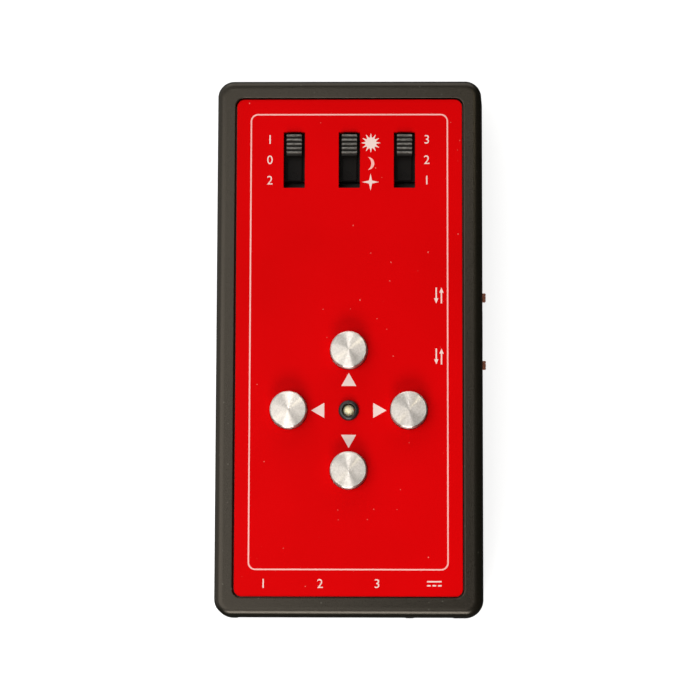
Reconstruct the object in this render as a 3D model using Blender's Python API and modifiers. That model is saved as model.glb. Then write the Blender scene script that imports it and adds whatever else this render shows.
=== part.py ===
"""Hand controller for a two-axis telescope drive.

It lies on its back: +Z comes out of the face, +Y points to the end with the slide switches,
and the sockets for the cables are in the -Y end. The origin is the centre of the back face.
"""

import math

import bmesh
import bpy
from mathutils import Matrix, Vector

# Driving dimensions, in metres.
GAP = 0.0003
OVERCUT = 0.001
TOUCH = 0.000001

CASE_WIDTH = 0.0678
CASE_LENGTH = 0.1358
CASE_DEPTH = 0.0270
CASE_CORNER = 0.0047
CASE_DRAFT = 0.0006
FRONT_ROUND = 0.0015
BACK_ROUND = 0.0025
WALL = 0.0026
BACK_WALL = 0.0022
PARTING = 0.0135
LIP_HEIGHT = 0.0015
LIP_WALL = 0.0010
LIP_SKIRT = 0.0022

PLATE_WIDTH = 0.0568
PLATE_LENGTH = 0.1251
PLATE_THICK = 0.0015
PLATE_SUNK = 0.0005
PLATE_CORNER = 0.0019
WINDOW_CORNER = 0.0010
LEDGE_THICK = 0.0020
WINDOW_WIDTH = 0.0530
WINDOW_LENGTH = 0.1226

BOARD_WIDTH = 0.0600
BOARD_THICK = 0.0016
BOARD_FRONT = 0.0180
BOARD_BOTTOM_END = -0.0645
BOARD_TOP_END = 0.0615
NOTCH_CLEARANCE = 0.0004

PAD_CENTRE_Y = -0.0163
BUTTON_PITCH = 0.0150
BUTTON_RADIUS = 0.0046
BUTTON_HOLE_RADIUS = 0.0049
BUTTON_PROUD = 0.0035
BUTTON_CHAMFER = 0.00035
BUTTON_FLANGE_RADIUS = 0.0056
BUTTON_FLANGE_THICK = 0.0009
BUTTON_FLANGE_DROP = 0.0005
BUTTON_BORE_RADIUS = 0.0021
BUTTON_BORE_DEPTH = 0.0014
PLUNGER_RADIUS = 0.00175
PLUNGER_LENGTH = 0.0042
TACT_SIDE = 0.0060
TACT_HEIGHT = 0.0032
TACT_WELL_DEPTH = 0.0018
TACT_CORNER = 0.0005

LED_RADIUS = 0.0015
LED_PROUD = 0.0006
LED_FOOT_RADIUS = 0.0019
LED_FOOT_THICK = 0.0010
LED_LEG_SPACING = 0.0020
LED_LEG_SIZE = 0.0005
LED_HOLE_RADIUS = 0.0025
BEZEL_RADIUS = 0.00255
BEZEL_PROUD = 0.0011
BEZEL_SLEEVE_RADIUS = 0.0022
BEZEL_BORE_RADIUS = 0.0018
BEZEL_DEPTH = 0.0040

SLIDE_PITCH = 0.0139
SLIDE_CENTRE_Y = 0.0471
SLIDE_STEP = 0.0037
SLOT_WIDTH = 0.00535
SLOT_LENGTH = 0.0143
SLIDE_FRAME_WIDTH = 0.0082
SLIDE_FRAME_LENGTH = 0.0266
SLIDE_FRAME_HEIGHT = 0.0061
SLIDE_SHEET = 0.0006
SLIDE_WINDOW_WIDTH = 0.0056
SLIDE_WINDOW_LENGTH = 0.0150
SLIDE_BASE_THICK = 0.0012
SLIDER_LIFT = 0.0019
SLIDER_LENGTH = 0.0174
SLIDER_WIDTH = 0.0062
SKIRT_WIDTH = 0.0036
SKIRT_LENGTH = 0.0170
SKIRT_HEIGHT = 0.0009
KNOB_WIDTH = 0.0038
KNOB_LENGTH = 0.0054
KNOB_PROUD = 0.0011
KNOB_ROUND = 0.0003

SIDE_SWITCH_CENTRES = {"invert_ra": 0.0126, "invert_dec": -0.00275}
SIDE_SWITCH_REST = {"invert_ra": 0.0010, "invert_dec": -0.0010}
SIDE_BODY_LENGTH = 0.0090
SIDE_BODY_WIDTH = 0.0050
SIDE_BODY_HEIGHT = 0.0048
SIDE_BODY_EDGE = 0.0294
SIDE_KNOB_LENGTH = 0.0022
SIDE_KNOB_HEIGHT = 0.0020
SIDE_KNOB_PROUD = 0.0008
SIDE_FOOT_LENGTH = 0.0040
SIDE_FOOT_THICK = 0.0014
SIDE_FOOT_INSET = 0.0008
SIDE_LEVEL = 0.0136
SIDE_SLOT_LENGTH = 0.0050
SIDE_SLOT_HEIGHT = 0.0030

PORT_LABELS = ("ra", "dec", "guide")
PORT_PITCH = 0.0141
PORT_FIRST_X = -0.0211
PORT_RECESS = 0.0007
PORT_WALL_DEPTH = 0.0060
JACK_WIDTH = 0.0132
JACK_HEIGHT = 0.0118
JACK_LENGTH = 0.0160
MOUTH_WIDTH = 0.0099
MOUTH_HEIGHT = 0.0068
MOUTH_DEPTH = 0.0125
MOUTH_FLOOR = 0.0010
LATCH_STEPS = ((0.0062, 0.0016), (0.0034, 0.0014))
CONTACT_COUNT = 6
CONTACT_PITCH = 0.00102
CONTACT_SIZE = 0.00045
CONTACT_REACH = 0.0068
CONTACT_RISE = 0.0036
CONTACT_ROOT = 0.0004
CARRIER_WIDTH = 0.0092
CARRIER_THICK = 0.0026
CARRIER_HEIGHT = 0.0053

POWER_CENTRE_X = 0.0213
POWER_WIDTH = 0.0090
POWER_HEIGHT = 0.0110
POWER_LENGTH = 0.0140
POWER_AXIS_DROP = 0.0065
POWER_BORE_RADIUS = 0.00315
POWER_BORE_DEPTH = 0.0095
POWER_PIN_RADIUS = 0.00105
POWER_PIN_TIP = 0.0005
POWER_PIN_SUNK = 0.0008

CASE_SCREW_X = 0.0282
CASE_SCREW_Y = (0.0622, -0.0450)
CASE_BOSS_RADIUS = 0.0035
CASE_BOSS_END = 0.0090
CASE_BORE_RADIUS = 0.0017
CASE_BORE_TOP = 0.0190
POST_RADIUS = 0.0037
COUNTERBORE_RADIUS = 0.0031
COUNTERBORE_DEPTH = 0.0040
CASE_HEAD_RADIUS = 0.0028
CASE_HEAD_HEIGHT = 0.0024
CASE_SHANK_RADIUS = 0.0014
CASE_SHANK_LENGTH = 0.0140
CASE_SCREW_TIP = 0.0012
SCREW_EDGE = 0.0005

BOARD_SCREW_X = 0.0274
BOARD_SCREW_Y = (0.0510, -0.0300)
BOARD_BOSS_RADIUS = 0.0025
BOARD_BORE_RADIUS = 0.0014
BOARD_BORE_DEPTH = 0.0048
BOARD_HEAD_RADIUS = 0.0022
BOARD_HEAD_HEIGHT = 0.0015
BOARD_SHANK_RADIUS = 0.0011
BOARD_SHANK_LENGTH = 0.0062

CHIP_LEAD_REACH = 0.0009
CHIP_LEAD_ROOT = 0.0002
CHIP_LIFT = 0.0003
MICROCONTROLLER_SPOT = (0.0, 0.0200)
MICROCONTROLLER_SIZE = (0.0075, 0.0130, 0.0024)
DRIVER_SPOTS = {"ra": (-0.0100, -0.0330), "dec": (0.0040, -0.0330)}
DRIVER_SIZE = (0.0060, 0.0098, 0.0030)
REGULATOR_CORNER = (0.0160, -0.0420)
REGULATOR_SIDE = 0.0066
REGULATOR_HEIGHT = 0.0045
CRYSTAL_CORNER = (-0.0192, 0.0180)
CRYSTAL_SIZE = (0.0110, 0.0042, 0.0035)
CAPACITOR_SPOT = (0.0140, -0.0470)
CAPACITOR_RADIUS = 0.0040
CAPACITOR_HEIGHT = 0.0115

# Sizes that follow from the ones above.
PLATE_FRONT = CASE_DEPTH - PLATE_SUNK
PLATE_BACK = PLATE_FRONT - PLATE_THICK
LEDGE_FRONT = PLATE_BACK - GAP
LEDGE_BACK = LEDGE_FRONT - LEDGE_THICK
BOARD_BACK = BOARD_FRONT - BOARD_THICK
BOARD_SEAT = BOARD_FRONT + GAP
UNDER_BOARD = BOARD_BACK - GAP
PORT_FACE = -CASE_LENGTH / 2 + PORT_RECESS
PORT_CENTRES = {
    label: PORT_FIRST_X + number * PORT_PITCH for number, label in enumerate(PORT_LABELS)
}
BUTTON_SPOTS = {
    "up": (0.0, PAD_CENTRE_Y + BUTTON_PITCH),
    "down": (0.0, PAD_CENTRE_Y - BUTTON_PITCH),
    "left": (-BUTTON_PITCH, PAD_CENTRE_Y),
    "right": (BUTTON_PITCH, PAD_CENTRE_Y),
}
SLIDE_CENTRES = {
    "hemisphere": -SLIDE_PITCH,
    "tracking": 0.0,
    "speed": SLIDE_PITCH,
}
CASE_SCREW_SPOTS = [
    (side * CASE_SCREW_X, y) for y in CASE_SCREW_Y for side in (-1, 1)
]
BOARD_SCREW_SPOTS = [
    (side * BOARD_SCREW_X, y) for y in BOARD_SCREW_Y for side in (-1, 1)
]

for old in list(bpy.data.objects):
    bpy.data.objects.remove(old, do_unlink=True)

PARTS = bpy.data.collections.new("hand_controller")
CUTTERS = bpy.data.collections.new("cutters")
bpy.context.scene.collection.children.link(PARTS)
bpy.context.scene.collection.children.link(CUTTERS)


def finish(name, colour, roughness, metallic=0.0):
    """A Principled material with one colour, roughness and metallic value."""
    material = bpy.data.materials.new(name)
    material.use_nodes = True
    shader = material.node_tree.nodes["Principled BSDF"]
    shader.inputs["Base Color"].default_value = (*colour, 1.0)
    shader.inputs["Roughness"].default_value = roughness
    shader.inputs["Metallic"].default_value = metallic
    return material


CASE_PLASTIC = finish("case_plastic", (0.052, 0.044, 0.038), 0.6)
RED_PLATE = finish("red_plate", (0.70, 0.003, 0.004), 0.35)
TURNED_ALUMINIUM = finish("turned_aluminium", (0.80, 0.79, 0.77), 0.3, 1.0)
SWITCH_PLASTIC = finish("switch_plastic", (0.03, 0.03, 0.032), 0.5)
SIDE_KNOB_PLASTIC = finish("side_knob_plastic", (0.09, 0.05, 0.04), 0.5)
SWITCH_STEEL = finish("switch_steel", (0.60, 0.60, 0.58), 0.35, 1.0)
SWITCH_BASE = finish("switch_base", (0.28, 0.14, 0.05), 0.6)
BOARD_RESIN = finish("board_resin", (0.02, 0.12, 0.05), 0.45)
LENS_PLASTIC = finish("lens_plastic", (0.75, 0.65, 0.42), 0.3)
SOCKET_PLASTIC = finish("socket_plastic", (0.025, 0.025, 0.027), 0.4)
CONTACT_METAL = finish("contact_metal", (0.80, 0.60, 0.25), 0.25, 1.0)
CHIP_RESIN = finish("chip_resin", (0.02, 0.02, 0.02), 0.6)
SCREW_STEEL = finish("screw_steel", (0.25, 0.25, 0.25), 0.4, 1.0)


def mesh_object(name, work, material, smooth=False):
    """Turns a finished bmesh into an object of the part."""
    mesh = bpy.data.meshes.new(name)
    work.to_mesh(mesh)
    work.free()
    mesh.materials.append(material)
    if smooth:
        mesh.shade_smooth()
        mesh.set_sharp_from_angle(angle=math.radians(40))
    thing = bpy.data.objects.new(name, mesh)
    PARTS.objects.link(thing)
    return thing


def block(
    name, low, high, material=None, corner=0.0, top=0.0, bottom=0.0, steps=3, narrow=None, draft=0.0
):
    """A box between two corners, with rounded upright edges and rounded rims.

    The end at the height given as narrow is smaller by the draft, on every side.
    """
    low = Vector(low)
    high = Vector(high)
    work = bmesh.new()
    bmesh.ops.create_cube(work, size=1.0)
    bmesh.ops.scale(work, vec=high - low, verts=work.verts)
    bmesh.ops.translate(work, vec=(low + high) / 2, verts=work.verts)
    for vert in work.verts:
        if narrow is not None and abs(vert.co.z - narrow) < TOUCH:
            vert.co.x -= math.copysign(draft, vert.co.x)
            vert.co.y -= math.copysign(draft, vert.co.y)
    if corner:
        upright = [e for e in work.edges if abs(e.verts[0].co.z - e.verts[1].co.z) > TOUCH]
        bmesh.ops.bevel(
            work, geom=upright, offset=corner, segments=steps, profile=0.5, affect="EDGES"
        )
    for level, radius in ((high.z, top), (low.z, bottom)):
        if radius:
            rim = [e for e in work.edges if all(abs(v.co.z - level) < TOUCH for v in e.verts)]
            bmesh.ops.bevel(
                work, geom=rim, offset=radius, segments=steps, profile=0.5, affect="EDGES"
            )
    return mesh_object(name, work, material or CASE_PLASTIC, smooth=bool(corner))


def drum(name, radius, spot, low, high, material=None, sides=24):
    """An upright cylinder at a spot in plan."""
    work = bmesh.new()
    place = Matrix.Translation((spot[0], spot[1], (low + high) / 2))
    bmesh.ops.create_cone(
        work, cap_ends=True, segments=sides, radius1=radius, radius2=radius,
        depth=high - low, matrix=place,
    )
    return mesh_object(name, work, material or CASE_PLASTIC, smooth=True)


def turned(name, profile, spot, material, sides=32):
    """A turned piece. The profile is (radius, height) down its outer side, top to bottom."""
    work = bmesh.new()
    points = [work.verts.new((radius, 0.0, height)) for radius, height in profile]
    for first, second in zip(points, points[1:]):
        work.edges.new((first, second))
    thing = mesh_object(name, work, material)
    thing.location = spot
    lathe = thing.modifiers.new("lathe", "SCREW")
    lathe.steps = sides
    lathe.render_steps = sides
    lathe.use_merge_vertices = True
    lathe.merge_threshold = 0.00001
    lathe.use_smooth_shade = False
    return thing


def as_cutter(tool):
    """Moves an object out of the part, to serve in Booleans."""
    if tool.name in PARTS.objects:
        PARTS.objects.unlink(tool)
        CUTTERS.objects.link(tool)
        tool.hide_render = True
        tool.display_type = "WIRE"


def boolean(target, tool, operation):
    as_cutter(tool)
    change = target.modifiers.new(tool.name, "BOOLEAN")
    change.operation = operation
    change.solver = "EXACT"
    change.object = tool


def cut(target, *tools):
    for tool in tools:
        boolean(target, tool, "DIFFERENCE")


def join(target, *tools):
    for tool in tools:
        boolean(target, tool, "UNION")


def set_origin(thing, origin):
    """Moves an object's origin, leaving its mesh where it is."""
    thing.data.transform(Matrix.Translation(-Vector(origin)))
    thing.location = origin


def centred(width, length, low, high):
    """The corners of a box centred on the Z axis."""
    return (-width / 2, -length / 2, low), (width / 2, length / 2, high)


# Openings that both halves of the case share.
first_port = PORT_CENTRES["ra"] - JACK_WIDTH / 2 - GAP
last_port = PORT_CENTRES["guide"] + JACK_WIDTH / 2 + GAP
jack_opening = block(
    "jack_opening",
    (first_port, PORT_FACE - OVERCUT, UNDER_BOARD - JACK_HEIGHT - GAP),
    (last_port, PORT_FACE + PORT_WALL_DEPTH, BOARD_BACK),
)
power_opening = block(
    "power_opening",
    (POWER_CENTRE_X - POWER_WIDTH / 2 - GAP, PORT_FACE - OVERCUT, UNDER_BOARD - POWER_HEIGHT - GAP),
    (POWER_CENTRE_X + POWER_WIDTH / 2 + GAP, PORT_FACE + PORT_WALL_DEPTH, BOARD_BACK),
)
side_openings = [
    block(
        f"{label}_opening",
        (SIDE_BODY_EDGE, y - SIDE_SLOT_LENGTH / 2, SIDE_LEVEL - SIDE_SLOT_HEIGHT / 2),
        (CASE_WIDTH / 2 + OVERCUT, y + SIDE_SLOT_LENGTH / 2, SIDE_LEVEL + SIDE_SLOT_HEIGHT / 2),
    )
    for label, y in SIDE_SWITCH_CENTRES.items()
]
shared_openings = [jack_opening, power_opening, *side_openings]


def make_front_shell():
    """The front half of the case: a bezel, a ledge for the plate, and screw bosses."""
    shell = block(
        "front_shell",
        *centred(CASE_WIDTH, CASE_LENGTH, PARTING + GAP / 2, CASE_DEPTH),
        corner=CASE_CORNER, top=FRONT_ROUND, steps=5, narrow=CASE_DEPTH, draft=CASE_DRAFT,
    )
    inner_width = CASE_WIDTH - 2 * WALL
    inner_length = CASE_LENGTH - 2 * WALL
    hollow = block(
        "front_hollow",
        *centred(inner_width, inner_length, PARTING - OVERCUT, LEDGE_BACK),
        corner=CASE_CORNER - WALL,
    )
    recess = block(
        "plate_recess",
        *centred(PLATE_WIDTH + 2 * GAP, PLATE_LENGTH + 2 * GAP, LEDGE_FRONT, CASE_DEPTH + OVERCUT),
        corner=PLATE_CORNER + GAP, steps=4,
    )
    window = block(
        "plate_window",
        *centred(WINDOW_WIDTH, WINDOW_LENGTH, LEDGE_BACK - OVERCUT, LEDGE_FRONT + OVERCUT),
        corner=WINDOW_CORNER, steps=2,
    )
    cut(shell, hollow, recess, window)
    boss_top = LEDGE_FRONT - GAP
    for number, spot in enumerate(CASE_SCREW_SPOTS, 1):
        join(shell, drum(f"case_boss_{number}", CASE_BOSS_RADIUS, spot, CASE_BOSS_END, boss_top))
    for number, spot in enumerate(BOARD_SCREW_SPOTS, 1):
        join(shell, drum(f"board_boss_{number}", BOARD_BOSS_RADIUS, spot, BOARD_SEAT, boss_top))
    for number, spot in enumerate(CASE_SCREW_SPOTS, 1):
        bore = drum(
            f"case_bore_{number}", CASE_BORE_RADIUS, spot,
            CASE_BOSS_END - OVERCUT, CASE_BORE_TOP, sides=16,
        )
        cut(shell, bore)
    for number, spot in enumerate(BOARD_SCREW_SPOTS, 1):
        bore = drum(
            f"board_bore_{number}", BOARD_BORE_RADIUS, spot,
            BOARD_SEAT - OVERCUT, BOARD_SEAT + BOARD_BORE_DEPTH, sides=16,
        )
        cut(shell, bore)
    cut(shell, *shared_openings)


def make_rear_cover():
    """The back half of the case: a shell with a lip, screw posts and counterbores."""
    cover = block(
        "rear_cover",
        *centred(CASE_WIDTH, CASE_LENGTH, 0.0, PARTING - GAP / 2),
        corner=CASE_CORNER, bottom=BACK_ROUND, steps=5, narrow=0.0, draft=CASE_DRAFT,
    )
    inner_width = CASE_WIDTH - 2 * WALL
    inner_length = CASE_LENGTH - 2 * WALL
    lip = block(
        "lip",
        *centred(
            inner_width - 2 * GAP, inner_length - 2 * GAP,
            PARTING - LIP_SKIRT / 2, PARTING + LIP_HEIGHT,
        ),
        corner=CASE_CORNER - WALL - GAP,
    )
    join(cover, lip)
    hollow = block(
        "rear_hollow",
        *centred(inner_width, inner_length, BACK_WALL, PARTING - LIP_SKIRT),
        corner=CASE_CORNER - WALL,
    )
    mouth_width = inner_width - 2 * GAP - 2 * LIP_WALL
    mouth_length = inner_length - 2 * GAP - 2 * LIP_WALL
    mouth = block(
        "rear_mouth",
        *centred(
            mouth_width, mouth_length,
            PARTING - LIP_SKIRT - OVERCUT, PARTING + LIP_HEIGHT + OVERCUT,
        ),
        corner=CASE_CORNER - WALL - GAP - LIP_WALL,
    )
    cut(cover, hollow, mouth)
    post_top = CASE_BOSS_END - GAP
    for number, spot in enumerate(CASE_SCREW_SPOTS, 1):
        join(cover, drum(f"post_{number}", POST_RADIUS, spot, BACK_WALL - OVERCUT, post_top))
    for number, spot in enumerate(CASE_SCREW_SPOTS, 1):
        clearance = drum(
            f"boss_clearance_{number}", CASE_BOSS_RADIUS + GAP, spot, post_top, CASE_DEPTH,
        )
        counterbore = drum(
            f"counterbore_{number}", COUNTERBORE_RADIUS, spot, -OVERCUT, COUNTERBORE_DEPTH,
        )
        bore = drum(
            f"post_bore_{number}", CASE_BORE_RADIUS, spot,
            COUNTERBORE_DEPTH - OVERCUT, post_top + OVERCUT, sides=16,
        )
        cut(cover, clearance, counterbore, bore)
    cut(cover, *shared_openings)


def make_front_plate():
    """The printed plate, with its slots and holes."""
    plate = block(
        "front_plate",
        *centred(PLATE_WIDTH, PLATE_LENGTH, PLATE_BACK, PLATE_FRONT),
        RED_PLATE, corner=PLATE_CORNER, steps=4,
    )
    low = PLATE_BACK - OVERCUT
    high = PLATE_FRONT + OVERCUT
    for label, x in SLIDE_CENTRES.items():
        slot = block(
            f"{label}_slot",
            (x - SLOT_WIDTH / 2, SLIDE_CENTRE_Y - SLOT_LENGTH / 2, low),
            (x + SLOT_WIDTH / 2, SLIDE_CENTRE_Y + SLOT_LENGTH / 2, high),
        )
        cut(plate, slot)
    for label, spot in BUTTON_SPOTS.items():
        cut(plate, drum(f"button_hole_{label}", BUTTON_HOLE_RADIUS, spot, low, high, sides=32))
    cut(plate, drum("led_hole", LED_HOLE_RADIUS, (0.0, PAD_CENTRE_Y), low, high, sides=24))


def make_circuit_board():
    """The board, notched around the case screws and drilled for its own."""
    board = block(
        "circuit_board",
        (-BOARD_WIDTH / 2, BOARD_BOTTOM_END, BOARD_BACK),
        (BOARD_WIDTH / 2, BOARD_TOP_END, BOARD_FRONT),
        BOARD_RESIN,
    )
    low = BOARD_BACK - OVERCUT
    high = BOARD_FRONT + OVERCUT
    notch_radius = CASE_BOSS_RADIUS + NOTCH_CLEARANCE
    for number, spot in enumerate(CASE_SCREW_SPOTS, 1):
        cut(board, drum(f"board_notch_{number}", notch_radius, spot, low, high))
    for number, spot in enumerate(BOARD_SCREW_SPOTS, 1):
        cut(board, drum(f"board_hole_{number}", BOARD_BORE_RADIUS, spot, low, high, sides=16))


def make_button(label, spot):
    """A turned cap over the plunger of a tact switch; cap and plunger move together."""
    x, y = spot
    cap_top = PLATE_FRONT + BUTTON_PROUD
    base = PLATE_BACK - BUTTON_FLANGE_DROP - BUTTON_FLANGE_THICK
    height = cap_top - base
    outline = [
        (0.0, height),
        (BUTTON_RADIUS - BUTTON_CHAMFER, height),
        (BUTTON_RADIUS, height - BUTTON_CHAMFER),
        (BUTTON_RADIUS, BUTTON_FLANGE_THICK),
        (BUTTON_FLANGE_RADIUS, BUTTON_FLANGE_THICK),
        (BUTTON_FLANGE_RADIUS, 0.0),
        (BUTTON_BORE_RADIUS, 0.0),
        (BUTTON_BORE_RADIUS, BUTTON_BORE_DEPTH),
        (0.0, BUTTON_BORE_DEPTH),
    ]
    turned(f"button_cap_{label}", outline, (x, y, base), TURNED_ALUMINIUM, sides=32)

    plunger_top = base + BUTTON_BORE_DEPTH - GAP
    plunger = drum(
        f"plunger_{label}", PLUNGER_RADIUS, spot,
        plunger_top - PLUNGER_LENGTH, plunger_top, SWITCH_PLASTIC, sides=20,
    )
    set_origin(plunger, (x, y, plunger_top - PLUNGER_LENGTH))

    half = TACT_SIDE / 2
    body_top = BOARD_SEAT + TACT_HEIGHT
    body = block(
        f"tact_switch_{label}",
        (x - half, y - half, BOARD_SEAT), (x + half, y + half, body_top),
        SWITCH_PLASTIC, corner=TACT_CORNER, steps=1,
    )
    well = drum(
        f"tact_well_{label}", BUTTON_BORE_RADIUS, spot,
        body_top - TACT_WELL_DEPTH, body_top + OVERCUT, sides=20,
    )
    cut(body, well)


def make_led():
    """The lamp in the middle of the pad, on two legs, in a clip-in bezel."""
    spot = (0.0, PAD_CENTRE_Y)
    rim_low = PLATE_FRONT + GAP
    rim_top = PLATE_FRONT + BEZEL_PROUD
    rim_round = (rim_top - rim_low) / 2
    shoulder = rim_round * (1 - math.sqrt(0.5))
    sleeve_low = PLATE_FRONT - BEZEL_DEPTH
    bezel_outline = [
        (BEZEL_BORE_RADIUS, rim_top),
        (BEZEL_RADIUS - rim_round, rim_top),
        (BEZEL_RADIUS - shoulder, rim_top - shoulder),
        (BEZEL_RADIUS, rim_low + rim_round),
        (BEZEL_RADIUS, rim_low),
        (BEZEL_SLEEVE_RADIUS, rim_low),
        (BEZEL_SLEEVE_RADIUS, sleeve_low),
        (BEZEL_BORE_RADIUS, sleeve_low),
        (BEZEL_BORE_RADIUS, rim_top),
    ]
    turned("led_bezel", bezel_outline, (*spot, 0.0), SWITCH_PLASTIC, sides=24)

    dome_steps = 4
    dome_base = PLATE_FRONT + LED_PROUD - LED_RADIUS
    foot_top = sleeve_low - GAP
    foot_low = foot_top - LED_FOOT_THICK
    lamp_outline = [
        (
            LED_RADIUS * math.sin(step * math.pi / 2 / dome_steps),
            dome_base + LED_RADIUS * math.cos(step * math.pi / 2 / dome_steps),
        )
        for step in range(dome_steps + 1)
    ]
    lamp_outline += [
        (LED_RADIUS, foot_top),
        (LED_FOOT_RADIUS, foot_top),
        (LED_FOOT_RADIUS, foot_low),
        (0.0, foot_low),
    ]
    lamp = turned("led", lamp_outline, (*spot, 0.0), LENS_PLASTIC, sides=24)
    half = LED_LEG_SIZE / 2
    for side in (-1, 1):
        x = side * LED_LEG_SPACING / 2
        wire = block(
            f"led_leg_{side}",
            (x - half, PAD_CENTRE_Y - half, BOARD_SEAT),
            (x + half, PAD_CENTRE_Y + half, foot_low + LED_FOOT_THICK / 2),
            CONTACT_METAL,
        )
        join(lamp, wire)


def make_slide_switch(label, x):
    """A three-position slide switch: steel frame, resin base, and slider with its knob."""
    half_width = SLIDE_FRAME_WIDTH / 2
    half_length = SLIDE_FRAME_LENGTH / 2
    y = SLIDE_CENTRE_Y
    frame_top = BOARD_SEAT + SLIDE_FRAME_HEIGHT
    frame = block(
        f"slide_frame_{label}",
        (x - half_width, y - half_length, BOARD_SEAT),
        (x + half_width, y + half_length, frame_top),
        SWITCH_STEEL,
    )
    cavity = block(
        f"slide_cavity_{label}",
        (x - half_width + SLIDE_SHEET, y - half_length + SLIDE_SHEET, BOARD_SEAT - OVERCUT),
        (x + half_width - SLIDE_SHEET, y + half_length - SLIDE_SHEET, frame_top - SLIDE_SHEET),
    )
    window = block(
        f"slide_window_{label}",
        (x - SLIDE_WINDOW_WIDTH / 2, y - SLIDE_WINDOW_LENGTH / 2, frame_top - OVERCUT),
        (x + SLIDE_WINDOW_WIDTH / 2, y + SLIDE_WINDOW_LENGTH / 2, frame_top + OVERCUT),
    )
    cut(frame, cavity, window)

    clear = SLIDE_SHEET + GAP
    block(
        f"slide_base_{label}",
        (x - half_width + clear, y - half_length + clear, BOARD_SEAT),
        (x + half_width - clear, y + half_length - clear, BOARD_SEAT + SLIDE_BASE_THICK),
        SWITCH_BASE,
    )

    rest_y = y + SLIDE_STEP
    slider_low = BOARD_SEAT + SLIDER_LIFT
    skirt_top = frame_top - SLIDE_SHEET - GAP
    slider = block(
        f"slider_{label}",
        (x - SLIDER_WIDTH / 2, rest_y - SLIDER_LENGTH / 2, slider_low),
        (x + SLIDER_WIDTH / 2, rest_y + SLIDER_LENGTH / 2, skirt_top - SKIRT_HEIGHT),
        SWITCH_PLASTIC,
    )
    skirt = block(
        f"slider_skirt_{label}",
        (x - SKIRT_WIDTH / 2, rest_y - SKIRT_LENGTH / 2, skirt_top - 2 * SKIRT_HEIGHT),
        (x + SKIRT_WIDTH / 2, rest_y + SKIRT_LENGTH / 2, skirt_top),
    )
    knob = block(
        f"slider_knob_{label}",
        (x - KNOB_WIDTH / 2, rest_y - KNOB_LENGTH / 2, skirt_top - 1.5 * SKIRT_HEIGHT),
        (x + KNOB_WIDTH / 2, rest_y + KNOB_LENGTH / 2, PLATE_FRONT + KNOB_PROUD),
        top=KNOB_ROUND, steps=2,
    )
    set_origin(slider, (x, rest_y, slider_low))
    join(slider, skirt, knob)


def make_side_switch(label, y):
    """A small two-position switch on the back of the board, worked through the side wall."""
    body = block(
        f"side_switch_{label}",
        (SIDE_BODY_EDGE - SIDE_BODY_WIDTH, y - SIDE_BODY_LENGTH / 2, UNDER_BOARD - SIDE_BODY_HEIGHT),
        (SIDE_BODY_EDGE, y + SIDE_BODY_LENGTH / 2, UNDER_BOARD),
        SWITCH_STEEL,
    )
    half_height = SIDE_KNOB_HEIGHT / 2 + GAP
    mouth_half = SIDE_KNOB_LENGTH / 2 + abs(SIDE_SWITCH_REST[label]) + GAP
    track_half = SIDE_FOOT_LENGTH / 2 + abs(SIDE_SWITCH_REST[label]) + GAP
    foot_out = SIDE_BODY_EDGE - SIDE_FOOT_INSET
    foot_in = foot_out - SIDE_FOOT_THICK
    track = block(
        f"side_track_{label}",
        (foot_in - GAP, y - track_half, SIDE_LEVEL - half_height),
        (foot_out + GAP, y + track_half, SIDE_LEVEL + half_height),
    )
    mouth = block(
        f"side_mouth_{label}",
        (foot_out - SIDE_FOOT_THICK / 2, y - mouth_half, SIDE_LEVEL - half_height),
        (SIDE_BODY_EDGE + OVERCUT, y + mouth_half, SIDE_LEVEL + half_height),
    )
    cut(body, track, mouth)

    rest_y = y + SIDE_SWITCH_REST[label]
    low = SIDE_LEVEL - SIDE_KNOB_HEIGHT / 2
    high = SIDE_LEVEL + SIDE_KNOB_HEIGHT / 2
    knob = block(
        f"side_knob_{label}",
        (foot_in, rest_y - SIDE_FOOT_LENGTH / 2, low),
        (foot_out, rest_y + SIDE_FOOT_LENGTH / 2, high),
        SIDE_KNOB_PLASTIC,
    )
    inset = GAP / 3
    stem = block(
        f"side_stem_{label}",
        (foot_out - SIDE_FOOT_THICK / 2, rest_y - SIDE_KNOB_LENGTH / 2, low + inset),
        (CASE_WIDTH / 2 + SIDE_KNOB_PROUD, rest_y + SIDE_KNOB_LENGTH / 2, high - inset),
    )
    set_origin(knob, (foot_out, rest_y, SIDE_LEVEL))
    join(knob, stem)


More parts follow.
